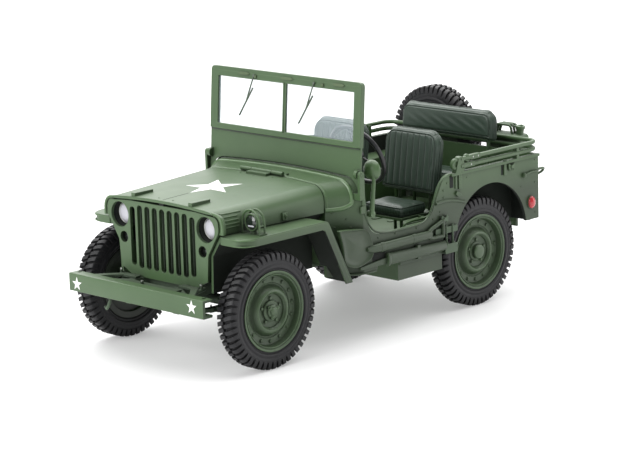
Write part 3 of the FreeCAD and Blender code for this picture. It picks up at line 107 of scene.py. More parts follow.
class CarColours(bpy.types.PropertyGroup):
    """Colours of the finishes."""

    paint: colour("Body paint", "Main olive green of the body", (0.054, 0.102, 0.040))
    paint_shade: colour("Body paint, darker", "Darker patches of the body paint", (0.045, 0.088, 0.034))
    chassis: colour("Chassis paint", "Green of the frame, axles and engine", (0.055, 0.095, 0.048))
    seat: colour("Seat", "Dark green of the seat pads", (0.030, 0.052, 0.036))
    rubber: colour("Rubber", "Black of the tyres", (0.012, 0.012, 0.014))
    black: colour("Black plastic", "Steering wheel and small black pieces", (0.010, 0.010, 0.012))
    marking: colour("Marking", "White of the stars", (0.86, 0.87, 0.85))
    red: colour("Tail lamp", "Red of the tail lamps", (0.50, 0.012, 0.020))


class CarSizes(bpy.types.PropertyGroup):
    """Sizes of the repeated and painted pieces."""

    hood_star: length("Hood star", "Radius of the star on the hood", 10.6)
    bumper_star: length("Bumper star", "Radius of the stars on the bumper", 2.55)
    rivet: length("Rivet", "Radius of a body rivet's head", 0.42)
    bolt: length("Bolt", "Radius of a bolt's hexagonal head", 0.55)
    lug_count: IntProperty(name="Tread lugs", description="Lugs on each side of a tyre", default=50, min=12)
    lug_width: length("Lug width", "Width of a tread lug along the tyre", 1.65)
    lug_slant: length("Lug slant", "How far a lug's inner end runs ahead of its outer end", 1.3)
    rim_bolts: IntProperty(name="Rim bolts", description="Bolts round the rim's flat ring", default=15, min=3)
    wheel_nuts: IntProperty(name="Wheel nuts", description="Nuts round the hub", default=5, min=3)
    channel: length("Seat channel", "Spacing of the sewn channels of a seat back", 2.9)
    piping: length("Piping", "Radius of the piping round a seat pad", 0.28)


class CarStage(bpy.types.PropertyGroup):
    """Camera, floor and lights."""

    eye: place("Camera place", "Where the camera stands", (644.25, 636.87, 230.74))
    azimuth: angle("Camera azimuth", "Direction of the camera round the car", 134.734)
    elevation: angle("Camera elevation", "Height of the camera above the horizon", 12.499)
    roll: angle("Camera roll", "Turn of the camera about its own line of sight", -1.697)
    lens: FloatProperty(name="Lens", description="Focal length on a 36 mm wide sensor", default=144.963,
                        subtype="DISTANCE_CAMERA", unit="CAMERA")
    floor: colour("Floor", "Pale floor", (0.60, 0.60, 0.60))
    glow: FloatProperty(name="Floor glow", description="Light the floor gives out, which keeps shadows pale",
                        default=0.30, min=0.0, max=1.0)
    sky: colour("Surroundings", "Even light from all round", (1.0, 1.0, 1.0))


# ---------------------------------------------------------------- points, lines and rings
def eased(points, radius, steps=3, closed=False):
    """Rounds the corners of a line of points with short curves."""
    points = [Vector(point) for point in points]
    result = []
    for index, corner in enumerate(points):
        if not closed and index in (0, len(points) - 1):
            result.append(corner)
            continue
        back = points[index - 1] - corner
        ahead = points[(index + 1) % len(points)] - corner
        start = corner + back.normalized() * min(radius, back.length * 0.48)
        end = corner + ahead.normalized() * min(radius, ahead.length * 0.48)
        for step in range(steps + 1):
            t = step / steps
            result.append(start.lerp(corner, t).lerp(corner.lerp(end, t), t))
    return result


def smooth_line(points, per=6):
    """A line through the points without corners."""
    points = [Vector(point) for point in points]
    ends = [points[0] * 2 - points[1]] + points + [points[-1] * 2 - points[-2]]
    result = []
    for a, b, c, d in zip(ends, ends[1:], ends[2:], ends[3:]):
        for step in range(per):
            t = step / per
            result.append(0.5 * (2 * b + (c - a) * t + (2 * a - 5 * b + 4 * c - d) * t * t
                                 + (3 * b - a - 3 * c + d) * t ** 3))
    return result + [points[-1]]


def axes(axis):
    """Unit vectors (along, side, up) for work about X, Y, Z or any direction."""
    named = {"X": (1, 0, 0), "Y": (0, 1, 0), "Z": (0, 0, 1)}
    along = Vector(named[axis] if isinstance(axis, str) else axis).normalized()
    hint = Vector((0, 0, 1)) if abs(along.z) < 0.9 else Vector((1, 0, 0))
    side = hint.cross(along).normalized()
    return along, side, along.cross(side)


def turns(count, start=0.0):
    """(cosine, sine) of even steps round a circle."""
    steps = [start + 2 * math.pi * step / count for step in range(count)]
    return [(math.cos(turn), math.sin(turn)) for turn in steps]


def raised(outline, axis, level):
    """An outline's points at one level on X, Y or Z; the outline is in the other two axes."""
    index = "XYZ".index(axis)
    return [Vector((*point[:index], level, *point[index:2])) for point in outline]


def rectangle(low, high, radius=0.0):
    corners = [(low[0], low[1]), (high[0], low[1]), (high[0], high[1]), (low[0], high[1])]
    if radius <= 0:
        return corners
    return [tuple(point) for point in eased(corners, radius, 4, closed=True)]


class Shape:
    """Faces gathered in millimetres until they become one piece."""

    def __init__(self):
        self.verts = []
        self.faces = []

    def add(self, verts, faces):
        base = len(self.verts)
        self.verts.extend(Vector(vert) for vert in verts)
        self.faces.extend(tuple(base + index for index in face) for face in faces)
        return self

    def loft(self, rings, closed_ring=True, closed_path=False, caps=True):
        """Skins rings of equally many points."""
        count = len(rings[0])
        faces = []
        for row in range(len(rings) if closed_path else len(rings) - 1):
            following = (row + 1) % len(rings)
            for index in range(count if closed_ring else count - 1):
                ahead = (index + 1) % count
                faces.append((row * count + index, row * count + ahead,
                              following * count + ahead, following * count + index))
        if caps and closed_ring and not closed_path:
            faces.append(tuple(reversed(range(count))))
            faces.append(tuple((len(rings) - 1) * count + index for index in range(count)))
        return self.add([vert for ring in rings for vert in ring], faces)

    def lathe(self, profile, centre, axis, segments=64, closed=False):
        """Turns (radius, offset) corners about an axis. A closed profile makes a ring."""
        along, side, up = axes(axis)
        rings = []
        for across, rise in turns(segments):
            out = side * across + up * rise
            rings.append([Vector(centre) + out * radius + along * offset for radius, offset in profile])
        return self.loft(rings, closed_ring=closed, closed_path=True, caps=False)

    def tube(self, points, radius, sides=10, closed=False):
        """A round bar along a line. The radius is one number or one for each point."""
        points = [Vector(point) for point in points]
        count = len(points)
        radii = radius if isinstance(radius, (list, tuple)) else [radius] * count
        rings = []
        normal = None
        for index, point in enumerate(points):
            before = points[index - 1] if index or closed else point
            after = points[(index + 1) % count] if index < count - 1 or closed else point
            run = (after - before).normalized()
            if normal is None:
                normal = axes(run)[1]
            normal = (normal - run * normal.dot(run)).normalized()
            other = run.cross(normal)
            rings.append([point + (normal * across + other * rise) * radii[index]
                          for across, rise in turns(sides)])
        return self.loft(rings, closed_path=closed)

    def prism(self, outline, axis, low, high):
        """A plate between two levels on X, Y or Z; the outline is in the other two axes."""
        return self.loft([raised(outline, axis, level) for level in (low, high)])

    def plate(self, low, high, radius, axis, levels):
        """A prism of a rectangle with rounded corners."""
        return self.prism(rectangle(low, high, radius), axis, *levels)

    def block(self, low, high):
        return self.prism(rectangle(low, high), "Z", low[2], high[2])

    def copy(self, matrix):
        return Shape().add([matrix @ vert for vert in self.verts], self.faces)

    def mirrored(self):
        """Adds the mirror image across the car's middle."""
        twin = [Vector((vert.x, -vert.y, vert.z)) for vert in self.verts]
        return self.add(twin, [tuple(reversed(face)) for face in self.faces])

    def mesh(self, name):
        mesh = bpy.data.meshes.new(name)
        mesh.from_pydata([vert * MM for vert in self.verts], [], self.faces)
        work = bmesh.new()
        work.from_mesh(mesh)
        bmesh.ops.remove_doubles(work, verts=work.verts, dist=0.004 * MM)
        bmesh.ops.dissolve_degenerate(work, edges=work.edges, dist=0.002 * MM)
        bmesh.ops.recalc_face_normals(work, faces=work.faces)
        work.to_mesh(mesh)
        work.free()
        return mesh


def linked(name, data):
    """A new object in the scene."""
    item = bpy.data.objects.new(name, data)
    bpy.context.collection.objects.link(item)
    return item


def make_piece(name, shape, finish, body="root", bevel=0.0, smooth=38.0, replaces=()):
    """Turns gathered faces into a named object that rides on a CAD body."""
    mesh = shape if isinstance(shape, bpy.types.Mesh) else shape.mesh(name)
    piece = linked(name, mesh)
    material, slot_name = finish_for(finish)
    mesh.materials.clear()
    mesh.materials.append(material)
    mesh.polygons.foreach_set("use_smooth", [True] * len(mesh.polygons))
    mesh.set_sharp_from_angle(angle=math.radians(smooth))
    if bevel > 0:
        edge = piece.modifiers.new("Edges", "BEVEL")
        edge.width = bevel * MM
        edge.segments = 2
        edge.limit_method = "ANGLE"
        edge.angle_limit = math.radians(smooth)
    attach(piece, body)
    if replaces:
        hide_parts(*replaces)
    return piece


# ---------------------------------------------------------------- seating on the CAD nodes
TREES = {}


def surface_of(node):
    if node not in TREES:
        TREES[node] = face_tree(frame["nodes"][node].data)
    return TREES[node]


def face_tree(mesh, unit=1.0):
    faces = [tuple(face.vertices) for face in mesh.polygons]
    return BVHTree.FromPolygons([vert.co / unit for vert in mesh.vertices], faces)


def seat(nodes, start, direction):
    """Where a line from a point, in millimetres, first meets a CAD node: (place, outward normal)."""
    best = None
    direction = Vector(direction).normalized()
    for node in nodes:
        hit, normal, _, distance = surface_of(node).ray_cast(Vector(start) * MM, direction)
        if hit is not None and (best is None or distance < best[2]):
            best = (hit / MM, normal, distance)
    if best is None:
        raise RuntimeError("nothing under " + str(tuple(start)))
    normal = best[1]
    return best[0], -normal if normal.dot(direction) > 0 else normal


def seat_aside(nodes, x, z, side, start=60.0):
    """Where the car's left (1) or right (-1) side is met at x and z: (place, outward normal)."""
    return seat(nodes, (x, side * start, z), (0, -side, 0))


def lay(nodes, point, direction, lift):
    """A point moved along a direction onto the surface, then lifted off it."""
    return seat(nodes, point, direction)[0] - Vector(direction) * lift


# ---------------------------------------------------------------- repeated pieces in Geometry Nodes
def geometry_tree(name, inputs):
    tree = bpy.data.node_groups.new(name, "GeometryNodeTree")
    tree.interface.new_socket("Geometry", in_out="INPUT", socket_type="NodeSocketGeometry")
    for label, kind, default in inputs:
        socket = tree.interface.new_socket(label, in_out="INPUT", socket_type="NodeSocket" + kind)
        if default is not None:
            socket.default_value = default
    tree.interface.new_socket("Material", in_out="INPUT", socket_type="NodeSocketMaterial")
    tree.interface.new_socket("Geometry", in_out="OUTPUT", socket_type="NodeSocketGeometry")
    return tree


class Sketch:
    """Adds nodes to a tree; an input is given as a value or as the socket to link."""

    def __init__(self, tree):
        self.tree = tree

    def give(self, socket, value):
        if isinstance(value, bpy.types.NodeSocket):
            self.tree.links.new(value, socket)
        else:
            socket.default_value = value

    def add(self, kind, inputs=None, **settings):
        node = self.tree.nodes.new(kind)
        for key, value in settings.items():
            setattr(node, key, value)
        for key, value in (inputs or {}).items():
            self.give(node.inputs[key], value)
        return node

    def maths(self, operation, first, second=None, third=None, clamp=False):
        inputs = {index: value for index, value in enumerate((first, second, third)) if value is not None}
        return self.add("ShaderNodeMath", inputs, operation=operation, use_clamp=clamp).outputs[0]

    def mapped(self, value, low, high, to_low=0.0, to_high=1.0):
        """A value carried from one range to another."""
        return self.add("ShaderNodeMapRange", {"Value": value, "From Min": low, "From Max": high,
                                               "To Min": to_low, "To Max": to_high}).outputs[0]

    def noise(self, coords, scale, detail=2.0, roughness=0.5):
        return self.add("ShaderNodeTexNoise", {"Vector": coords, "Scale": scale, "Detail": detail,
                                               "Roughness": roughness}).outputs[0]

    def vector_maths(self, operation, first, second, output=0):
        inputs = {0: first} if second is None else {0: first, 1: second}
        return self.add("ShaderNodeVectorMath", inputs, operation=operation).outputs[output]

    def apart(self, vector):
        return self.add("ShaderNodeSeparateXYZ", {0: vector}).outputs

    def blended(self, mask, first, second):
        """Colour that goes from the first to the second as the mask rises."""
        return self.add("ShaderNodeMix", {0: mask, 6: first, 7: second}, data_type="RGBA").outputs[2]

    def surface(self, inputs):
        """The material's own shader and its output."""
        shader = self.add("ShaderNodeBsdfPrincipled", inputs)
        self.add("ShaderNodeOutputMaterial", {"Surface": shader.outputs[0]})


def ending(sketch, instances, material):
    """Instances made real, with their material, to the tree's output."""
    real = sketch.add("GeometryNodeRealizeInstances", {"Geometry": instances})
    painted = sketch.add("GeometryNodeSetMaterial", {"Geometry": real.outputs[0], "Material": material})
    sketch.add("NodeGroupOutput", {0: painted.outputs[0]})


def ring_tree():
    """Copies of one piece evenly round an axis."""
    tree = geometry_tree("Ring of copies", [
        ("Count", "Int", 12), ("Axis", "Vector", (0.0, 1.0, 0.0)), ("Centre", "Vector", (0.0, 0.0, 0.0)),
        ("Start angle", "Float", 0.0)])
    sketch = Sketch(tree)
    given = sketch.add("NodeGroupInput").outputs
    points = sketch.add("GeometryNodePoints", {"Count": given["Count"]})
    index = sketch.add("GeometryNodeInputIndex").outputs[0]
    share = sketch.maths("DIVIDE", index, given["Count"])
    turn = sketch.maths("MULTIPLY_ADD", share, 2 * math.pi, given["Start angle"])
    rotation = sketch.add("FunctionNodeAxisAngleToRotation", {"Axis": given["Axis"], "Angle": turn})
    copies = sketch.add("GeometryNodeInstanceOnPoints", {
        "Points": points.outputs[0], "Instance": given["Geometry"], "Rotation": rotation.outputs[0]})
    moved = sketch.add("GeometryNodeTransform",
                       {"Geometry": copies.outputs[0], "Translation": given["Centre"]})
    ending(sketch, moved.outputs[0], given["Material"])
    return tree


def stud_tree(hexagonal):
    """A head on each point, facing along the point's "facing" attribute and sized by "size"."""
    tree = geometry_tree("Bolt heads" if hexagonal else "Rivet heads", [("Height", "Float", 0.6)])
    sketch = Sketch(tree)
    given = sketch.add("NodeGroupInput").outputs
    facing = sketch.add("GeometryNodeInputNamedAttribute", {"Name": "facing"}, data_type="FLOAT_VECTOR")
    size = sketch.add("GeometryNodeInputNamedAttribute", {"Name": "size"}, data_type="FLOAT")
    rotation = sketch.add("FunctionNodeAlignRotationToVector", {"Vector": facing.outputs[0]}, axis="Z")
    if hexagonal:
        head = sketch.add("GeometryNodeMeshCylinder", {"Vertices": 6, "Radius": 1.0, "Depth": 1.6})
    else:
        head = sketch.add("GeometryNodeMeshUVSphere", {"Segments": 10, "Rings": 6, "Radius": 1.0})
    high = sketch.maths("MULTIPLY", size.outputs[0], given["Height"])
    scale = sketch.add("ShaderNodeCombineXYZ", {"X": size.outputs[0], "Y": size.outputs[0], "Z": high})
    copies = sketch.add("GeometryNodeInstanceOnPoints", {
        "Points": given["Geometry"], "Instance": head.outputs[0],
        "Rotation": rotation.outputs[0], "Scale": scale.outputs[0]})
    ending(sketch, copies.outputs[0], given["Material"])
    return tree


NODE_TREES = {}


def tree_named(kind):
    makers = {"ring": ring_tree, "rivets": lambda: stud_tree(False), "bolts": lambda: stud_tree(True)}
    if kind not in NODE_TREES:
        NODE_TREES[kind] = makers[kind]()
    return NODE_TREES[kind]


def grown_mesh(source, kind, **inputs):
    """The plain mesh that a geometry tree makes from a mesh."""
    holder = linked("holder", source)
    modifier = holder.modifiers.new("Copies", "NODES")
    modifier.node_group = tree_named(kind)
    for item in modifier.node_group.interface.items_tree:
        if item.item_type == "SOCKET" and item.in_out == "INPUT" and item.name in inputs:
            modifier[item.identifier] = inputs[item.name]
    return plain_mesh(holder)


def plain_mesh(holder):
    """The evaluated mesh of a helper object, which is then removed."""
    mesh = bpy.data.meshes.new_from_object(holder.evaluated_get(bpy.context.evaluated_depsgraph_get()))
    bpy.data.objects.remove(holder)
    return mesh


def ring_mesh(shape, count, axis, centre, start_angle=0.0, finish="paint"):
    return grown_mesh(shape.mesh("seed"), "ring", Count=count, Axis=tuple(axes(axis)[0]),
                      Centre=tuple(Vector(centre) * MM), Material=finish_for(finish)[0],
                      **{"Start angle": start_angle})


def stud_mesh(studs, hexagonal=False, height=0.6):
    """Heads for studs given as (place, facing, radius) in millimetres."""
    mesh = bpy.data.meshes.new("studs")
    mesh.from_pydata([Vector(stud[0]) * MM for stud in studs], [], [])
    facing = mesh.attributes.new("facing", "FLOAT_VECTOR", "POINT")
    facing.data.foreach_set("vector", [value for stud in studs for value in Vector(stud[1]).normalized()])
    size = mesh.attributes.new("size", "FLOAT", "POINT")
    size.data.foreach_set("value", [stud[2] * MM for stud in studs])
    kind = "bolts" if hexagonal else "rivets"
    return grown_mesh(mesh, kind, Height=height, Material=finish_for("paint")[0])


def joined_mesh(name, meshes):
    work = bmesh.new()
    for mesh in meshes:
        work.from_mesh(mesh)
    result = bpy.data.meshes.new(name)
    work.to_mesh(result)
    work.free()
    return result


# ---------------------------------------------------------------- shader groups and materials
def shader_group(name, inputs, outputs=(("Mask", "Float"),)):
    """(sketch of a new group, its inputs)."""
    tree = bpy.data.node_groups.new(name, "ShaderNodeTree")
    for label, kind, default in inputs:
        socket = tree.interface.new_socket(label, in_out="INPUT", socket_type="NodeSocket" + kind)
        if default is not None:
            socket.default_value = default
    for label, kind in outputs:
        tree.interface.new_socket(label, in_out="OUTPUT", socket_type="NodeSocket" + kind)
    sketch = Sketch(tree)
    return sketch, sketch.add("NodeGroupInput").outputs


def edge_group():
    """Rounded-looking edges, and a broken mask that lightens them: wear on most finishes, a painted highlight
    on the rims and lamp glass.
    """
    sketch, given = shader_group("Soft edges", [
        ("Vector", "Vector", None), ("Radius", "Float", 0.0003), ("Amount", "Float", 0.5)],
        [("Normal", "Vector"), ("Mask", "Float")])
    rounded = sketch.add("ShaderNodeBevel", {"Radius": given["Radius"]}, samples=4).outputs[0]
    flat = sketch.add("ShaderNodeNewGeometry").outputs["Normal"]
    bend = sketch.mapped(sketch.vector_maths("DOT_PRODUCT", rounded, flat, "Value"), 0.99, 0.80)
    broken = sketch.mapped(sketch.noise(given["Vector"], 420.0, 3.0), 0.35, 0.65)
    mask = sketch.maths("MULTIPLY", sketch.maths("MULTIPLY", bend, broken), given["Amount"], clamp=True)
    sketch.add("NodeGroupOutput", {"Normal": rounded, "Mask": mask})
    return sketch.tree


def grain_group():
    """Fine skin of a moulded or sprayed surface: a height and a value that wanders."""
    sketch, given = shader_group("Moulded grain", [("Vector", "Vector", None), ("Scale", "Float", 3000.0)],
                                 [("Height", "Float"), ("Value", "Float")])
    sketch.add("NodeGroupOutput", {"Height": sketch.noise(given["Vector"], given["Scale"]),
                                   "Value": sketch.noise(given["Vector"], 38.0, 4.0, 0.6)})
    return sketch.tree


def dust_group():
    """Thin dust that settles on what faces up."""
    sketch, given = shader_group("Settled dust", [("Vector", "Vector", None), ("Amount", "Float", 0.1)])
    up = sketch.apart(sketch.add("ShaderNodeNewGeometry").outputs["Normal"])["Z"]
    mask = sketch.maths("MULTIPLY", sketch.mapped(up, 0.2, 1.0), sketch.noise(given["Vector"], 90.0, 5.0))
    sketch.add("NodeGroupOutput", {"Mask": sketch.maths("MULTIPLY", mask, given["Amount"], clamp=True)})
    return sketch.tree


def sealed_group():
    """Painted shade inside the arches: picks the faces that look towards a point on either side of the car,
    and lie within its reach.
    """
    sketch, given = shader_group("Painted shade inside an arch", [
        ("Vector", "Vector", None), ("Centre", "Vector", (0, 0, 0)), ("Reach", "Float", 0.040)])
    side = sketch.maths("SIGN", sketch.apart(given["Vector"])["Y"])
    centre = sketch.apart(given["Centre"])
    middle = sketch.add("ShaderNodeCombineXYZ",
                        {"X": centre["X"], "Y": sketch.maths("MULTIPLY", centre["Y"], side),
                                                 "Z": centre["Z"]}).outputs[0]
    away = sketch.vector_maths("SUBTRACT", middle, given["Vector"])
    normal = sketch.add("ShaderNodeTexCoord").outputs["Normal"]
    looks = sketch.maths("GREATER_THAN", sketch.vector_maths("DOT_PRODUCT", away, normal, "Value"), 0.0008)
    near = sketch.maths("LESS_THAN", sketch.vector_maths("LENGTH", away, None, "Value"), given["Reach"])
    sketch.add("NodeGroupOutput", {"Mask": sketch.maths("MULTIPLY", looks, near)})
    return sketch.tree


def side_shade_group():
    """Painted shade on faces turned from the car's middle (side 1) or towards it (-1), growing from one
    height down.
    """
    sketch, given = shader_group("Painted side shade", [
        ("Vector", "Vector", None), ("Side", "Float", 1.0), ("Upper", "Float", 0.044),
        ("Lower", "Float", 0.030)])
    place = sketch.apart(given["Vector"])
    normal = sketch.apart(sketch.add("ShaderNodeTexCoord").outputs["Normal"])
    outward = sketch.maths("MULTIPLY", sketch.maths("SIGN", place["Y"]), normal["Y"])
    turned = sketch.mapped(sketch.maths("MULTIPLY", outward, given["Side"]), 0.25, 0.6)
    depth = sketch.mapped(place["Z"], given["Upper"], given["Lower"])
    sketch.add("NodeGroupOutput", {"Mask": sketch.maths("MULTIPLY", turned, depth)})
    return sketch.tree


def hollow_shade_group():
    """Painted shade where neighbouring surfaces close in: seams, corners and the ground round small fittings.
    """
    sketch, given = shader_group("Painted shade in hollows", [("Reach", "Float", 0.003), ("Amount", "Float", 0.6)])
    near = sketch.add("ShaderNodeAmbientOcclusion", {"Distance": given["Reach"]}, samples=6).outputs["AO"]
    closed = sketch.mapped(near, 0.95, 0.25)
    sketch.add("NodeGroupOutput", {"Mask": sketch.maths("MULTIPLY", closed, given["Amount"], clamp=True)})
    return sketch.tree


GROUPS = {}


def group_node(sketch, name, inputs):
    makers = {"edge": edge_group, "grain": grain_group, "dust": dust_group, "sealed": sealed_group,
              "turned": side_shade_group, "hollow": hollow_shade_group}
    if name not in GROUPS:
        GROUPS[name] = makers[name]()
    return sketch.add("ShaderNodeGroup", inputs, node_tree=GROUPS[name]).outputs


def new_material(name):
    material = bpy.data.materials.new(name)
    material.use_nodes = True
    material.node_tree.nodes.clear()
    sketch = Sketch(material.node_tree)
    return material, sketch, sketch.add("ShaderNodeTexCoord").outputs["Object"]


def rgba(colour_value, factor=1.0):
    return tuple(min(1.0, channel * factor) for channel in colour_value) + (1.0,)


def moulded(name, base, shade, roughness, edge=0.25, wear=0.35, grain=3000.0, depth=0.02, dust=0.05,
            worn_colour=None, specular=0.5, coat=0.0, sealed=None, hollow=0.75, reach=5.0, turned=None):
    """Paint or moulded plastic: uneven tone, edges lightened by wear and on some finishes by a painted
    highlight, painted shade in hollows, settled dust and a fine skin.

    Faces that look towards the given arch centre, on either side of the car, get near-black painted shade.
    `turned` is a side, an upper and a lower height, and the share by which the faces turned to that side
    are darker: painted shade.
    """
    material, sketch, coords = new_material(name)
    skin = group_node(sketch, "grain", {"Vector": coords, "Scale": grain})
    edges = group_node(sketch, "edge", {"Vector": coords, "Radius": edge * MM, "Amount": wear})
    settled = group_node(sketch, "dust", {"Vector": coords, "Amount": dust})
    tone = sketch.blended(sketch.mapped(skin["Value"], 0.3, 0.7), rgba(base), rgba(shade))
    # Lighter edges: wear, and a painted highlight where a finish gives a bright edge colour.
    tone = sketch.blended(edges["Mask"], tone, worn_colour or rgba(base, 1.5))
    tone = sketch.blended(settled["Mask"], tone, (0.42, 0.42, 0.36, 1.0))
    painted_shade_masks = []
    # Painted shade: the colour darkens where neighbouring surfaces close in.
    if hollow > 0:
        painted_shade_masks.append(group_node(sketch, "hollow", {"Reach": reach * MM, "Amount": hollow})["Mask"])
        tone = sketch.blended(painted_shade_masks[-1], tone, rgba(base, 0.12))
    # Painted shade: faces turned to one side grow darker below a height.
    if turned:
        side, upper, lower, share = turned
        aside = group_node(sketch, "turned", {"Vector": coords, "Side": side, "Upper": upper * MM,
                                              "Lower": lower * MM})
        tone = sketch.blended(sketch.maths("MULTIPLY", aside["Mask"], share), tone, rgba(base, 0.08))
    if sealed:
        painted_shade_masks.append(group_node(sketch, "sealed", {"Vector": coords,
                                                  "Centre": tuple(value * MM for value in sealed)})["Mask"])
        # Painted shade: faces inside the arches go near black.
        tone = sketch.blended(painted_shade_masks[-1], tone, (0.006, 0.010, 0.006, 1.0))
    gloss = sketch.mapped(skin["Value"], 0.25, 0.75, roughness - 0.05, roughness + 0.06)
    for mask in painted_shade_masks:
        gloss = sketch.maths("MULTIPLY_ADD", mask, 0.45, gloss, clamp=True)
    bump = sketch.add("ShaderNodeBump", {"Height": skin["Height"], "Normal": edges["Normal"],
                                         "Strength": 0.35, "Distance": depth * MM})
    sketch.surface({"Base Color": tone, "Roughness": gloss, "Normal": bump.outputs[0],
                    "Specular IOR Level": specular, "Coat Weight": coat})
    return material


def glass_material(name, tint, alpha, roughness):
    """Clear sheet or lens under a pale, half-clear veil: a painted reflection whose strength and roughness
    wander a little.
    """
    material, sketch, coords = new_material(name)
    reflection_veil_noise = sketch.noise(coords, 160.0, 4.0)
    # The pale tint at partial alpha is a painted reflection over the glass.
    sketch.surface({"Base Color": rgba(tint), "IOR": 1.49,
                    "Roughness": sketch.mapped(reflection_veil_noise, 0.0, 1.0, roughness, roughness * 2),
                    "Alpha": sketch.mapped(reflection_veil_noise, 0.2, 0.8, alpha * 0.92, min(1.0, alpha * 1.08))})
    return material


def metal_material(name, tint, roughness):
    """Bright or dull metal with fine turning marks."""
    material, sketch, coords = new_material(name)
    skin = group_node(sketch, "grain", {"Vector": coords, "Scale": 1800.0})
    edges = group_node(sketch, "edge", {"Vector": coords, "Radius": 0.12 * MM, "Amount": 0.4})
    tone = sketch.blended(skin["Value"], rgba(tint), rgba(tint, 0.8))
    tone = sketch.blended(edges["Mask"], tone, rgba(tint, 1.3))
    bump = sketch.add("ShaderNodeBump", {"Height": skin["Height"], "Normal": edges["Normal"],
                                         "Strength": 0.2, "Distance": 0.01 * MM})
    sketch.surface({"Base Color": tone, "Normal": bump.outputs[0], "Metallic": 1.0,
                    "Roughness": sketch.mapped(skin["Height"], 0.0, 1.0, roughness, roughness + 0.15)})
    return material


FINISHES = {}


def finish_makers():
    """finish: (material slot in the record, maker)."""
    tones = bpy.context.scene.car_colours
    # Painted shade: the body's outward faces darken from 50 mm down to 40 mm.
    flank_shade = (1.0, 50.0, 40.0, 0.6)

    def paint(slot_name, name, base, shade, roughness, **settings):
        if isinstance(shade, float):
            shade = [channel * shade for channel in base]
        return slot_name, lambda: moulded(name, base, shade, roughness, **settings)

    return {
        "paint": paint("olive_body", "Olive paint", tones.paint, tones.paint_shade, 0.40, turned=flank_shade),
        # The two finishes below paint the shade inside the wheel arches black.
        "rear_arch_shade_paint": paint("olive_body", "Olive paint, painted shade in the rear arches", tones.paint,
                                tones.paint_shade, 0.42, sealed=(-50.0, 32.4, 28.0), turned=flank_shade),
        "front_arch_shade_paint": paint("olive_body", "Olive paint, painted shade under the fenders", tones.paint,
                                 tones.paint_shade, 0.42, sealed=(58.0, 34.0, 26.0), turned=flank_shade),
        # Lighter paint on rolled edges, beads and borders: a painted highlight.
        "highlight_edge": paint("olive_body", "Rolled edge, painted highlight", rgba(tones.paint, 1.25)[:3], tones.paint, 0.34,
                           edge=0.3, wear=0.5),
        # Much lighter, glossier paint on the cowl's crest: a painted highlight along the roll.
        "crest": paint("olive_body", "Roll with painted highlight", rgba(tones.paint, 1.5)[:3], rgba(tones.paint, 1.25)[:3],
                       0.27, edge=0.3, wear=0.4, coat=0.35, hollow=0.5),
        # Rim paint: edges get a strong painted highlight, and faces turned towards the car's middle get
        # painted shade.
        "rim": paint("olive_body", "Rim paint", rgba(tones.paint, 0.78)[:3], rgba(tones.paint, 0.66)[:3],
                     0.36, edge=0.35, wear=0.9, dust=0.02, hollow=0.9, reach=7.0,
                     turned=(-1.0, 900.0, 800.0, 0.9), worn_colour=rgba(tones.paint, 1.9)),
        "marking": paint("olive_body", "White marking", tones.marking, 0.92, 0.45, edge=0.05, wear=0.0,
                         dust=0.0, hollow=0.0),
        "strap": paint("olive_body", "Webbing strap", (0.085, 0.125, 0.060), (0.070, 0.105, 0.050), 0.7,
                       edge=0.1, wear=0.2, grain=2400.0, depth=0.05),
        # The chassis gets strong painted shade in its hollows.
        "chassis": paint("chassis_green", "Dark olive paint", tones.chassis, 0.75, 0.5, dust=0.1, hollow=0.92,
                         reach=16.0),
        "seat": paint("seat_green", "Padded cover", tones.seat, 0.8, 0.40, edge=0.15, wear=0.3, grain=2200.0,
                      depth=0.06, dust=0.03),
        "rubber": paint("tyre_rubber", "Tyre rubber", tones.rubber, 0.75, 0.46, edge=0.2, wear=0.5,
                        grain=2600.0, depth=0.03, dust=0.05, specular=0.32,
                        worn_colour=(0.07, 0.07, 0.075, 1.0)),
        "black": paint("black_plastic", "Black plastic", tones.black, 1.0, 0.32, edge=0.15, wear=0.2,
                       dust=0.02, worn_colour=(0.05, 0.05, 0.05, 1.0)),
        "seal": paint("black_plastic", "Rubber seal", (0.035, 0.045, 0.035), 0.8, 0.55, edge=0.1, wear=0.1),
        "wiper": paint("black_plastic", "Wiper arm", (0.085, 0.115, 0.080), (0.070, 0.095, 0.066), 0.4,
                       edge=0.1, wear=0.3),
        # Near-black painted shadow in slots, recesses, the latch notch and lamp buckets; the hood seam uses
        # it as a dark joint.
        "shadow": paint("black_plastic", "Painted recess shadow", (0.006, 0.009, 0.006), (0.004, 0.006, 0.004), 0.8,
                        edge=0.05, wear=0.0, dust=0.0),
        "red": paint("red_lens", "Red lens", tones.red, 0.8, 0.18, edge=0.3, wear=0.15, depth=0.01, dust=0.02,
                     coat=0.6),
        # Lamp glass: the near-white edge colour is a painted highlight round the lens.
        "lamp_glass": paint("lamp_lens", "Lamp glass", (0.56, 0.56, 0.60), (0.40, 0.40, 0.45), 0.14, edge=0.1,
                            wear=0.4, dust=0.0, coat=0.5, hollow=0.5, reach=3.0,
                            worn_colour=(0.85, 0.86, 0.90, 1.0)),
        "dark_glass": paint("lamp_lens", "Dark lens", (0.014, 0.022, 0.016), (0.010, 0.014, 0.012), 0.14,
                            edge=0.1, wear=0.1, dust=0.0, coat=0.5),
        "glass": ("window_glass", lambda: glass_material("Window sheet", (0.52, 0.60, 0.64), 0.24, 0.05)),
        "lens": ("lamp_lens", lambda: glass_material("Lamp lens", (0.97, 0.98, 1.0), 0.35, 0.04)),
        "mirror": ("lamp_lens", lambda: metal_material("Bright reflector", (0.82, 0.83, 0.86), 0.12)),
        "steel": ("chassis_green", lambda: metal_material("Pale steel", (0.55, 0.56, 0.54), 0.32)),
    }


def finish_for(name):
    """(material, material slot name) of a finish, made on first use."""
    if name not in FINISHES:
        slot_name, maker = finish_makers()[name]
        FINISHES[name] = (maker(), slot_name)
    return FINISHES[name]


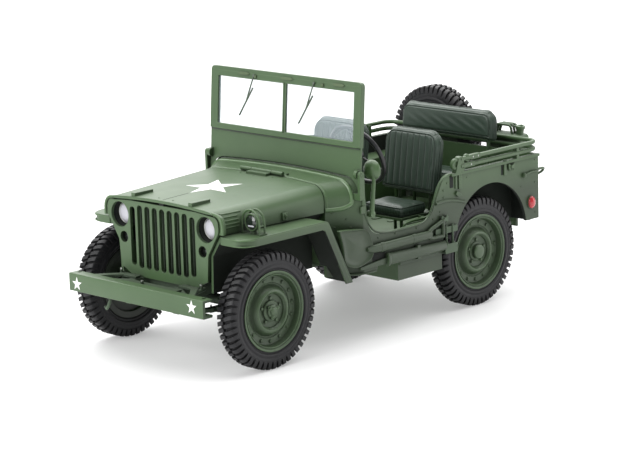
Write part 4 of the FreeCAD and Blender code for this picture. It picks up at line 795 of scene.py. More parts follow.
# ---------------------------------------------------------------- operators
class CarOperator:
    """What every builder shares."""

    bl_options = {"REGISTER", "UNDO"}

    def execute(self, context):
        self.build(context.scene.car_sizes)
        return {"FINISHED"}


class CAR_OT_stage(CarOperator, bpy.types.Operator):
    """Camera, pale floor and soft light"""

    bl_idname = "car.stage"
    bl_label = "Stage"

    def build(self, sizes):
        stage = bpy.context.scene.car_stage
        add_camera(stage)
        add_floor(stage)
        add_lights(stage)


def add_camera(stage):
    back = Vector((math.sin(stage.azimuth) * math.cos(stage.elevation),
                   -math.cos(stage.azimuth) * math.cos(stage.elevation), math.sin(stage.elevation)))
    level_right = Vector((0, 0, 1)).cross(back).normalized()
    level_up = back.cross(level_right)
    right = level_right * math.cos(stage.roll) + level_up * math.sin(stage.roll)
    up = level_up * math.cos(stage.roll) - level_right * math.sin(stage.roll)
    data = bpy.data.cameras.new("camera")
    data.lens = stage.lens
    data.sensor_width = 36.0
    data.clip_start = 0.01
    data.clip_end = 50.0
    camera = linked("camera", data)
    camera.matrix_world = Matrix((
        (right.x, up.x, back.x, stage.eye[0]),
        (right.y, up.y, back.y, stage.eye[1]),
        (right.z, up.z, back.z, stage.eye[2]),
        (0.0, 0.0, 0.0, 1.0),
    ))
    bpy.context.scene.camera = camera


def add_floor(stage):
    material, sketch, coords = new_material("Pale floor")
    tone = sketch.blended(sketch.noise(coords, 3.0), rgba(stage.floor), rgba(stage.floor, 0.99))
    sketch.surface({"Base Color": tone, "Roughness": 0.6, "Specular IOR Level": 0.2,
                    "Emission Color": rgba((1.0, 1.0, 1.0)), "Emission Strength": stage.glow})
    mesh = Shape().block((-9000, -9000, -20), (9000, 9000, 0)).mesh("floor")
    mesh.materials.append(material)
    linked("floor", mesh)


def add_lights(stage):
    world = bpy.data.worlds.new("surroundings")
    world.use_nodes = True
    background = world.node_tree.nodes["Background"]
    background.inputs[0].default_value = tuple(stage.sky) + (1.0,)
    background.inputs[1].default_value = 0.45
    bpy.context.scene.world = world
    bpy.context.scene.view_settings.view_transform = "Standard"
    lamps = [  # name, place in metres, size in metres, power in watts
        ("overhead", (-0.40, -0.40, 1.60), 3.0, 84.0),
        ("front", (1.50, -0.25, 0.60), 1.0, 20.0),
        ("back sheen", (-1.20, -1.20, 0.62), 1.8, 11.0),
        ("side sheen", (-1.40, 1.25, 0.46), 0.8, 7.0),
    ]
    for name, spot, size, power in lamps:
        data = bpy.data.lights.new(name, "AREA")
        data.energy = power
        data.size = size
        lamp = linked(name, data)
        lamp.location = spot
        lamp.rotation_euler = (Vector((0, 0, 0.03)) - Vector(spot)).to_track_quat("-Z", "Y").to_euler()
        lamp.visible_camera = False


class CAR_OT_finish_nodes(CarOperator, bpy.types.Operator):
    """Finishes on the CAD nodes that stay in view"""

    bl_idname = "car.finish_nodes"
    bl_label = "Finishes of the CAD nodes"

    def build(self, sizes):
        by_slot = {"olive_body": "paint", "chassis_green": "chassis", "seat_green": "seat",
                   "tyre_rubber": "rubber", "black_plastic": "black", "window_glass": "glass",
                   "lamp_lens": "lens", "red_lens": "red"}
        for part in frame["record"]["subparts"]:
            node = frame["nodes"][part["node"]]
            material = finish_for("wiper" if part["node"] == "wipers" else by_slot[part["material_slot"]])[0]
            if not node.material_slots:
                node.data.materials.append(material)
            for spot in node.material_slots:
                spot.material = material


def wheel_frame(tyre_node):
    """Centre in millimetres, half width and outer radius of a tyre node."""
    low, high = node_box(tyre_node)
    index = "XYZ".index(WHEELS[tyre_node][2])
    return (low + high) / 2, (high[index] - low[index]) / 2, (high.z - low.z) / 2


class CAR_OT_tyres(CarOperator, bpy.types.Operator):
    """Tyres with two rows of slanted lugs"""

    bl_idname = "car.tyres"
    bl_label = "Tyres"

    def build(self, sizes):
        for node, (_, body, axis, _) in WHEELS.items():
            centre, half, radius = wheel_frame(node)
            carcass = Shape().lathe(tyre_profile(half, radius), centre, axis, 120, closed=True)
            lugs = Shape()
            for side in (1, -1):
                add_lug(lugs, axis, side, half, radius, sizes)
            tread = ring_mesh(lugs, sizes.lug_count, axis, centre, finish="rubber")
            mesh = joined_mesh(node + "_tread", [carcass.mesh("carcass"), tread])
            make_piece("treaded_" + node, mesh, "rubber", body, smooth=32.0, replaces=(node,))


def tyre_profile(half, radius):
    """(radius, offset) corners across a tyre, whose side is given as (depth below the tread, inset)."""
    side = [(7.25, 1.35), (6.75, 0.75), (6.2, 0.42), (5.75, 0.52), (5.45, 0.16), (4.9, 0.04), (4.5, 0.2),
            (4.2, 0.34), (3.4, 0.2), (2.6, 0.3), (1.9, 0.7), (1.35, 1.3), (1.1, 2.2), (1.0, half)]
    line = smooth_line([(radius - depth, half - inset, 0) for depth, inset in side], 3)
    return [(point.x, point.y) for point in line] + [(point.x, -point.y) for point in reversed(line)]


def add_lug(shape, axis, side, half, radius, sizes):
    """One slanted bar from the tread's middle over the shoulder, before it is turned round the tyre."""
    along, out, forward = axes(axis)
    width = sizes.lug_width / MM
    slant = sizes.lug_slant / MM
    half_pitch = math.pi / sizes.lug_count * (0.5 if side > 0 else -0.5)
    section = [  # radius, offset from the middle, share of the slant, share of the width
        (radius - 1.3, 0.25, 1.0, 0.86), (radius - 0.02, 0.3, 1.0, 0.80),
        (radius, half - 1.25, 0.35, 0.86), (radius - 0.45, half - 0.5, 0.15, 0.92),
        (radius - 1.3, half - 0.12, 0.05, 0.96), (radius - 2.75, half - 0.02, 0.0, 1.0),
        (radius - 3.0, half - 0.5, 0.0, 1.0), (radius - 2.2, half - 1.2, 0.1, 1.0),
    ]
    rings = []
    for edge in (-0.5, 0.5):
        ring = []
        for reach, offset, lean, share in section:
            turn = half_pitch + (edge * width * share + lean * slant * side) / radius
            ring.append((out * math.cos(turn) + forward * math.sin(turn)) * reach + along * offset * side)
        rings.append(ring)
    shape.loft(rings)


class CAR_OT_rims(CarOperator, bpy.types.Operator):
    """Two-piece rims with their bolts, nuts and hub caps"""

    bl_idname = "car.rims"
    bl_label = "Rims"

    def build(self, sizes):
        for tyre_node, (node, body, axis, outward) in WHEELS.items():
            centre, half, _ = wheel_frame(tyre_node)
            shape = Shape().lathe(rim_profile(half, outward), centre, axis, 96, closed=True)
            add_hub(shape, centre, half, axis, outward, front="front" in node)
            bolts = ring_mesh(bolt_seed(axis, 10.75, (half - 2.62) * outward, 0.50, 0.42, outward),
                              sizes.rim_bolts, axis, centre, 0.1)
            nuts = ring_mesh(bolt_seed(axis, 4.35, (half - 2.25) * outward, 0.55, 0.6, outward),
                             sizes.wheel_nuts, axis, centre, 0.3)
            mesh = joined_mesh(node + "_dished", [shape.mesh("disc"), bolts, nuts])
            make_piece("dished_" + node, mesh, "rim", body, smooth=30.0, replaces=(node,))


def rim_profile(half, outward):
    """(radius, offset) corners of a rim: its outer face, its hollow back and its well."""
    face = [  # radius, distance in from the outer side
        (13.95, 0.42), (14.0, 0.08), (13.75, 0.0), (13.3, 0.1), (13.1, 0.45), (12.85, 0.5), (12.7, 0.28),
        (12.45, 0.42), (12.2, 1.4), (11.9, 2.45), (11.6, 2.62), (9.7, 2.62), (9.45, 2.9), (9.1, 3.0),
        (8.8, 2.8), (8.3, 1.9), (7.7, 1.05), (7.2, 0.72), (6.8, 0.68), (6.45, 0.86), (6.2, 1.3), (5.9, 1.55),
        (5.75, 2.1), (5.3, 2.25), (3.3, 2.25), (3.0, 3.0), (4.6, 4.2)]
    back = [(4.6, 1.6), (11.0, 1.7), (11.2, 0.7), (13.5, 0.6), (13.2, 1.2)]     # the same from the inner side
    corners = [(radius, half - inset) for radius, inset in face]
    corners += [(radius, inset - half) for radius, inset in back]
    corners += [(12.9, 0.0), (13.2, half - 1.2), (13.6, half - 0.6)]
    return [(radius, offset * outward) for radius, offset in corners]


def add_hub(shape, centre, half, axis, outward, front):
    """Hub cap: a stepped drum with a domed end, and three lobes on a front wheel."""
    if front:
        cap = [(3.6, 2.6), (3.6, 1.7), (3.35, 1.5), (2.3, 1.4), (2.2, 0.8), (1.5, 0.6), (1.35, 0.2),
               (1.0, 0.04), (0.0, 0.02)]
    else:
        cap = [(3.6, 2.6), (3.6, 1.95), (3.3, 1.8), (2.75, 1.7), (2.7, 0.55), (2.5, 0.25), (2.0, 0.08),
               (1.2, 0.02), (0.0, 0.0)]
    shape.lathe([(radius, (half - inset) * outward) for radius, inset in cap], centre, axis, 32)
    if front:
        along, side, up = axes(axis)
        for across, rise in turns(3, math.radians(20)):
            start = Vector(centre) + along * (half - 1.3) * outward
            end = Vector(centre) + along * (half - 0.78) * outward + (side * across + up * rise) * 2.6
            shape.tube([start, start.lerp(end, 0.5), end, end + along * 0.3 * outward],
                       [0.85, 0.8, 0.7, 0.45], 10)


def bolt_seed(axis, ring_radius, offset, radius, height, outward):
    """A hexagonal head and its washer, ready to be turned round an axis."""
    along, side, _ = axes(axis)
    foot = side * ring_radius + along * offset
    seed = Shape().tube([foot - along * 0.2 * outward, foot + along * 0.12 * outward], radius * 1.35, 12)
    return seed.tube([foot, foot + along * height * outward], radius, 6)


class CAR_OT_markings(CarOperator, bpy.types.Operator):
    """Painted stars on the hood and the bumper"""

    bl_idname = "car.markings"
    bl_label = "Stars"

    def build(self, sizes):
        hood_star = star_on(["hood"], (51.5, 0.0, HOOD_HIGH.z + 10), (0, 0, -1), (1, 0, 0),
                            sizes.hood_star / MM)
        make_piece("hood_star", hood_star, "marking", "hood")
        stars = Shape()
        for y, z in ((-30.1, 24.9), (28.7, 25.6)):
            star = star_on(["front_bumper"], (BUMPER_HIGH.x + 10, y, z), (-1, 0, 0), (0, 0, 1),
                           sizes.bumper_star / MM, lift=-0.01)
            stars.add(star.verts, star.faces)
        make_piece("bumper_stars", stars, "marking")


def star_on(nodes, start, direction, top, radius, cuts=5, lift=0.03):
    """A thin five-pointed star laid on a surface, with one tip towards top."""
    start, direction, top = Vector(start), Vector(direction), Vector(top)
    side = direction.cross(top)
    corners = []
    for index, (ahead, aside) in enumerate(turns(10)):
        reach = radius if index % 2 == 0 else radius * 0.382
        corners.append(start + (top * ahead + side * aside) * reach)
    shape = Shape()
    for index, corner in enumerate(corners):
        rows = []
        for step in range(cuts + 1):
            first = start.lerp(corner, step / cuts)
            last = start.lerp(corners[(index + 1) % 10], step / cuts)
            rows.append([first.lerp(last, part / step) if step else first for part in range(step + 1)])
        laid, sunk = [[[lay(nodes, point, direction, height) for point in row] for row in rows]
                      for height in (lift, -0.1)]
        for grid in (laid, sunk):
            for near, far in zip(grid, grid[1:]):
                for part in range(len(near)):
                    shape.add([near[part], far[part], far[part + 1]], [(0, 1, 2)])
                    if part < len(near) - 1:
                        shape.add([near[part], far[part + 1], near[part + 1]], [(0, 1, 2)])
        for part in range(cuts):
            shape.add([laid[cuts][part], laid[cuts][part + 1], sunk[cuts][part + 1], sunk[cuts][part]],
                      [(0, 1, 2, 3)])
    return shape


# ---------------------------------------------------------------- padded pieces
SIM_SCALE = 20.0        # a pad is filled at about the size of real furniture
SIM_FRAMES = 20
SIM_PRESSURE = 4.0
PAD_VOXEL = 0.4         # mesh size of a pad before its subdivision, in millimetres


class Pad:
    """A stuffed pad in its own frame: x through its thickness to its face, y across, z up its height."""

    def __init__(self, half, low, high, depth, low_radius, high_radius, matrix):
        self.half = half
        self.low, self.high = low, high
        self.depth = depth
        self.low_radius, self.high_radius = low_radius, high_radius
        self.matrix = matrix

    def outline(self, inset=0.0, steps=8):
        points = []
        for across, upward, start in ((1, -1, -90), (1, 1, 0), (-1, 1, 90), (-1, -1, 180)):
            radius = max((self.high_radius if upward > 0 else self.low_radius) - inset, 0.3)
            middle = self.high - inset - radius if upward > 0 else self.low + inset + radius
            for step in range(steps + 1):
                turn = math.radians(start + 90 * step / steps)
                points.append((across * (self.half - inset - radius) + radius * math.cos(turn),
                               middle + radius * math.sin(turn)))
        return points

    def inside(self, point):
        """How far a point lies inside the rounded outline."""
        middle = (self.low + self.high) / 2
        radius = self.high_radius if point.z > middle else self.low_radius
        across = abs(point.y) - self.half + radius
        along = abs(point.z - middle) - (self.high - self.low) / 2 + radius
        outside = math.hypot(max(across, 0.0), max(along, 0.0))
        return radius - outside - min(max(across, along), 0.0)

    def blank(self, shrink):
        """The closed, slightly small form that is then filled."""
        depth = self.depth - 2 * shrink
        levels = ((0.0, 0.9), (0.35, 0.3), (1.0, 0.0), (depth - 1.0, 0.0), (depth - 0.35, 0.3), (depth, 0.9))
        rings = [[(shrink + level, y, z) for y, z in self.outline(shrink + inset)] for level, inset in levels]
        return Shape().loft(rings)


def with_modifier(mesh, kind, **settings):
    """The mesh after one modifier."""
    holder = linked("holder", mesh)
    modifier = holder.modifiers.new("Step", kind)
    for key, value in settings.items():
        setattr(modifier, key, value)
    return plain_mesh(holder)


def filled_points(mesh):
    """Where cloth pressure takes each point of a closed mesh."""
    holder = linked("holder", mesh)
    cloth = holder.modifiers.new("Cloth", "CLOTH")
    cloth.settings.use_pressure = True
    cloth.settings.uniform_pressure_force = SIM_PRESSURE
    cloth.settings.effector_weights.gravity = 0.0
    cloth.point_cache.frame_start = 1
    cloth.point_cache.frame_end = SIM_FRAMES
    for step in range(1, SIM_FRAMES + 1):
        bpy.context.scene.frame_set(step)
    settled = holder.evaluated_get(bpy.context.evaluated_depsgraph_get())
    points = [vert.co.copy() for vert in settled.data.vertices]
    bpy.data.objects.remove(holder)
    bpy.context.scene.frame_set(1)
    return points


def stuffed(pad, shrink=0.35, cap=0.55):
    """The pad's mesh after it is filled; no point moves further than the cap, in millimetres."""
    grow = SIM_SCALE * MM
    blank = pad.blank(shrink).mesh("blank")
    blank.transform(Matrix.Scale(SIM_SCALE, 4))
    mesh = with_modifier(blank, "REMESH", mode="VOXEL", voxel_size=PAD_VOXEL * grow)
    moves = [point - vert.co for point, vert in zip(filled_points(mesh), mesh.vertices)]
    for vert, move in zip(mesh.vertices, moves):
        if move.length > cap * grow:
            move = move.normalized() * cap * grow
        vert.co = vert.co + move
    mesh = with_modifier(mesh, "SUBSURF", levels=1, render_levels=1)
    mesh.transform(Matrix.Scale(1 / SIM_SCALE, 4))
    return mesh


def ridge(distance, width):
    """1 on a line, falling to 0 beside it."""
    return math.exp(-(distance / width) ** 2)


def ramp(value, start, end):
    share = min(1.0, max(0.0, (value - start) / (end - start)))
    return share * share * (3 - 2 * share)


def sewn_back(pad, channel):
    """Moves for a seat back: stepped edges, a border seam, upright channels and a flap over the top."""
    def move(point, normal):
        inside = pad.inside(point)
        stepped = sum(0.4 * ramp(point.x, level - 0.12, level + 0.12)
                      for level in (pad.depth / 3, pad.depth * 2 / 3))
        outward = Vector((0, normal.y, normal.z))
        if outward.length > 0.01:
            outward.normalize()
        result = point - outward * stepped * max(0.0, 1 - inside / 2.5) * ramp(outward.length, 0.0, 1.0)
        relief = 0.16 * ridge(inside - 1.1, 0.55) - 0.42 * ridge(inside - 2.15, 0.24)
        if channel:
            offset = (point.y / channel + 0.5) % 1.0 - 0.5
            relief += ramp(inside, 2.3, 2.9) * (0.12 - 0.5 * (abs(offset) * 2) ** 4)
        else:
            relief += 0.10 * ramp(inside, 2.5, 6.0)
            relief += 0.08 * math.sin(0.9 * point.y + 1.7 * point.z) * ramp(inside, 3, 6)
        result.x += ramp(normal.x, 0.2, 0.7) * relief
        top = ramp(normal.z, 0.5, 0.9) * ramp(pad.half - 3.3 - abs(point.y), 0.0, 0.15)
        result.z += 0.34 * top * ramp(point.x, 0.5, 0.65) * ramp(pad.depth - 0.75 - point.x, 0.0, 0.15)
        return result
    return move


def sewn_cushion(pad):
    """Moves for a seat cushion: a crowned top in a border seam, and a skirt with soft gathers."""
    def move(point, normal):
        inside = pad.inside(point)
        result = point.copy()
        face = ramp(normal.x, 0.2, 0.7)
        crease = 0.05 * math.sin(1.1 * point.y + 0.6 * point.z) * math.sin(0.5 * point.y - 1.3 * point.z)
        result.x += face * (0.28 * ramp(inside, 1.0, 5.0) - 0.32 * ridge(inside - 0.95, 0.2) + crease)
        outward = Vector((0, normal.y, normal.z))
        if outward.length > 0.5:
            outward.normalize()
            gather = 0.05 * math.cos(2 * math.pi * (point.y + point.z) / 1.3) * ramp(point.x, 0.4, 1.6)
            gather *= ramp(pad.depth - point.x, 0.8, 1.8)
            result -= outward * (0.22 * ridge(point.x - pad.depth * 0.36, 0.16) + gather)
        return result
    return move


def piping_on(mesh, pad, levels, radius):
    """Piping cord laid on the pad's sides at the given levels of its thickness."""
    tree = face_tree(mesh, MM)
    shape = Shape()
    ring = pad.outline(-2.0, steps=6)
    for level in levels:
        points = []
        for y, z in ring:
            start = Vector((level, y, z))
            spine = Vector((level, (y / abs(y)) * max(0.0, abs(y) - 5.5),
                            min(max(z, pad.low + 3.5), pad.high - 3.5)))
            hit = tree.ray_cast(start, (spine - start).normalized())[0]
            if hit is not None:
                points.append(hit)
        shape.tube(smooth_ring(points, 3), radius, 6, closed=True)
    return shape


def smooth_ring(points, per):
    """A closed line through the points without corners."""
    return smooth_line(points + points[:1], per)[:-1]


def pad_pieces(name, pad, mover, node, places, piping_levels, sizes):
    """One padded piece with its sewing, and its piping, at each (label, y) across the car."""
    mesh = stuffed(pad)
    for vert, normal in [(vert, vert.normal.copy()) for vert in mesh.vertices]:
        vert.co = mover(vert.co / MM, normal) * MM
    cord = piping_on(mesh, pad, piping_levels, sizes.piping / MM)
    for label, middle_y in places:
        spot = Matrix.Translation((0, middle_y * MM, 0)) @ pad.matrix
        placed = mesh.copy()
        placed.transform(spot)
        piece = make_piece(name + label, placed, "seat", smooth=180.0, replaces=(node,))
        spot.translation = spot.translation / MM
        make_piece("piping_" + name + label, cord.copy(spot), "seat", smooth=60.0)


def leaned(pivot, degrees, offset):
    """Frame of a pad that stands at an offset and leans back about a pivot, both (x, z) in millimetres."""
    about = Vector((pivot[0], 0, pivot[1])) * MM
    turn = Matrix.Rotation(math.radians(-degrees), 4, "Y")
    stand = Matrix.Translation((offset * MM, 0, 0))
    return Matrix.Translation(about) @ turn @ Matrix.Translation(-about) @ stand


# Turns a standing pad to lie face up.
LYING = Matrix(((0, 0, -1, 0), (0, 1, 0, 0), (1, 0, 0, 0), (0, 0, 0, 1)))


class CAR_OT_seats(CarOperator, bpy.types.Operator):
    """Sewn seat cushions and backs"""

    bl_idname = "car.seats"
    bl_label = "Seats"

    def build(self, sizes):
        low, high = node_box("front_seat_backs")
        half = 14.2
        pair = (("_left", high.y - half), ("_right", half - high.y))
        hoop_x = COWL_BACK - 47.5
        back = Pad(half, low.z, low.z + 24.6, 4.2, 2.0, 6.2, leaned((hoop_x, 36.8), 8.0, hoop_x + 0.6))
        pad_pieces("seat_back", back, sewn_back(back, sizes.channel / MM), "front_seat_backs", pair,
                   (0.45, 2.05), sizes)
        self.cushion("seat_cushion", "front_seat_cushions", pair, 10.2, 2.0, 1.6, sizes)
        high = node_box("rear_seat_back")[1]
        hoop_x = TUB_BACK + 6.0
        rear = Pad(high.y, 56.2, 68.6, 4.2, 1.5, 5.2, leaned((hoop_x + 1.2, 45.0), 4.0, hoop_x + 0.6))
        pad_pieces("rear_back", rear, sewn_back(rear, 0), "rear_seat_back", (("", 0.0),),
                   (0.45, 2.05), sizes)
        half = node_box("rear_seat_cushion")[1].y
        self.cushion("rear_cushion", "rear_seat_cushion", (("", 0.0),), half, 1.8, 1.2, sizes)

    def cushion(self, name, node, places, half, back_radius, front_radius, sizes):
        low, high = node_box(node)
        lying = Matrix.Translation((0, 0, low.z * MM)) @ LYING
        pad = Pad(half, -high.x, -low.x, high.z - low.z, back_radius, front_radius, lying)
        pad_pieces(name, pad, sewn_cushion(pad), node, places, (0.5, pad.depth - 0.55), sizes)


# ---------------------------------------------------------------- shapes for fittings
def oval_rod(shape, wall, sections, sides=20):
    """A rounded bar along X: (x, distance off the wall, z, half depth, half height) of each section."""
    return shape.loft([[Vector((x, wall + out + deep * across, z + high * rise))
                        for across, rise in turns(sides)] for x, out, z, deep, high in sections])


def raised_plate(shape, outline, axis, levels):
    """A plate whose outline shrinks towards its middle from level to level: (share of the size, level)."""
    middle = Vector((sum(point[0] for point in outline), sum(point[1] for point in outline))) / len(outline)
    return shape.loft([raised([middle + (Vector(point[:2]) - middle) * share for point in outline],
                              axis, level) for share, level in levels])


def off_wall(points, out):
    """(x, z) points beside the body's side."""
    return [(x, BODY_SIDE + out, z) for x, z in points]


def wing_nut(shape, x, outline, levels):
    """Two wings, whose outline is (distance from the nut's middle, z)."""
    for lean in (-1, 1):
        shape.prism(eased([(x + out * lean, z, 0) for out, z in outline], 0.4, 3, closed=True), "Y", *levels)


def sunk(found, depth):
    """Places that were found on a surface, moved into it."""
    return [place_found - normal * depth for place_found, normal in found]


def both_sides(maker):
    """A shape made on the left, with its mirror image."""
    shape = Shape()
    maker(shape)
    return shape.mirrored()


def side_studs(nodes, spots, radius):
    """Studs on both sides of the car for (x, z) spots in millimetres."""
    studs = []
    for side, name in ((LEFT, "left"), (RIGHT, "right")):
        named = [node.replace("left", name) for node in nodes]
        studs += [(*seat_aside(named, x, z, side), radius) for x, z in spots]
    return studs


def over_arch(node, x, low, turn_step=4.0, middle=42.0):
    """(place, normal) round a node's arch at one x, from a height on the left over to the right."""
    span = 90.0 - math.degrees(math.atan2(low - middle, 38.0))
    count = int(2 * span / turn_step)
    found = []
    for index in range(count + 1):
        turn = math.radians(90.0 - span + 2 * span * index / count)
        outward = Vector((0, math.cos(turn), math.sin(turn)))
        found.append(seat([node], Vector((x, 0, middle)) + outward * 70, -outward))
    return found


class CAR_OT_tools(CarOperator, bpy.types.Operator):
    """Shovel, axe and their clamps on the left side"""

    bl_idname = "car.tools"
    bl_label = "Side tools"

    def build(self, sizes):
        wall = BODY_SIDE
        shovel = Shape()
        blade = smooth_line([(x, z, 0) for x, z in (
            (14.2, 39.6), (16.5, 40.7), (22.0, 41.5), (28.2, 42.1), (28.7, 41.2), (27.6, 37.4), (27.0, 34.0),
            (26.7, 31.4), (25.2, 29.0), (20.0, 27.4), (15.0, 28.4), (12.2, 30.2), (11.5, 32.6), (12.4, 35.6),
            (13.2, 37.8), (14.2, 39.6))], 4)[:-1]
        levels = ((1.0, 0.02), (1.0, 1.0), (0.985, 1.35), (0.955, 1.45), (0.92, 1.2), (0.82, 0.75),
                  (0.6, 0.62), (0.35, 0.95), (0.12, 1.1))
        raised_plate(shovel, blade, "Y", [(share, wall + out) for share, out in levels])
        oval_rod(shovel, wall, ((14.6, 0.95, 32.9, 0.5, 0.7), (12.0, 1.0, 32.7, 0.8, 1.35),
                                (8.0, 1.05, 32.6, 1.02, 1.6), (-16.0, 1.05, 32.55, 1.02, 1.6),
                                (-18.6, 1.05, 32.55, 0.9, 1.45)))
        for ring_x in (7.2, -9.5):
            oval_rod(shovel, wall, [(ring_x + end, 1.02, 32.6, 1.1, 1.72) for end in (-0.9, 0.9)])
        for points in (((-17.6, 33.6), (-19.5, 34.6), (-25.0, 36.4)),
                       ((-17.6, 31.5), (-20.0, 31.0), (-25.3, 30.9)),
                       ((-25.2, 30.4), (-25.4, 33.6), (-25.1, 37.0))):
            shovel.tube(off_wall(points, 1.0), 0.72, 10)
        make_piece("long_shovel", shovel, "paint", smooth=44.0, replaces=("shovel",))

        axe = Shape()
        oval_rod(axe, wall, ((-26.6, 0.9, 27.1, 0.7, 1.5), (-26.2, 0.95, 27.1, 0.9, 1.85),
                             (-12.0, 1.0, 27.3, 1.0, 2.0), (2.6, 1.0, 27.6, 1.0, 2.2),
                             (3.6, 1.0, 27.6, 1.0, 2.2)))
        oval_rod(axe, wall, ((3.3, 1.0, 27.6, 0.9, 2.3), (3.5, 1.0, 27.6, 1.08, 2.5),
                             (4.5, 1.0, 27.6, 1.08, 2.5), (4.6, 1.0, 27.6, 0.9, 2.3)))
        axe.prism([(4.4, 28.3), (18.1, 27.1), (18.1, 26.0), (4.4, 26.1)], "Y", wall + 0.02, wall + 0.8)
        axe.plate((-12.6, 24.9), (-10.9, 29.9), 0.0, "Y", (wall + 0.02, wall + 1.5))
        make_piece("side_axe", axe, "paint", bevel=0.1, smooth=44.0, replaces=("axe",))
        # A near-black plate: painted shadow of the recess between the shovel and the axe.
        recess = Shape().plate((4.8, 27.6), (11.3, 31.2), 0.6, "Y", (wall - 0.05, wall + 0.05))
        make_piece("tool_recess_shadow", recess, "shadow")

        clamp = Shape()
        clamp.plate((-32.6, 23.9), (-25.9, 27.4), 0.6, "Y", (wall + 0.02, wall + 1.5))
        clamp.plate((-33.6, 31.3), (-21.6, 33.7), 0.5, "Y", (wall - 0.02, wall + 0.75))
        for x in (-30.7, -27.3):
            clamp.tube(off_wall([(x, 26.5), (x, 34.4)], 0.7), 0.42, 10)
            for z in (28.0, 28.8, 29.6, 30.4):
                clamp.tube(off_wall([(x, z), (x, z + 0.35)], 0.7), 0.56, 10)
            clamp.tube(off_wall([(x, 27.0), (x, 27.9)], 0.7), 0.85, 6)
        clamp.tube([(-26.3, wall - 0.1, 36.8), (-26.3, wall + 1.5, 36.8)], 0.8, 12)
        wing_nut(clamp, -26.3, ((0.3, 36.4), (1.5, 35.4), (1.9, 37.6), (1.1, 38.4), (0.3, 37.2)),
                 (wall + 0.5, wall + 1.2))
        make_piece("tool_clamps", clamp, "chassis", bevel=0.08, smooth=40.0)


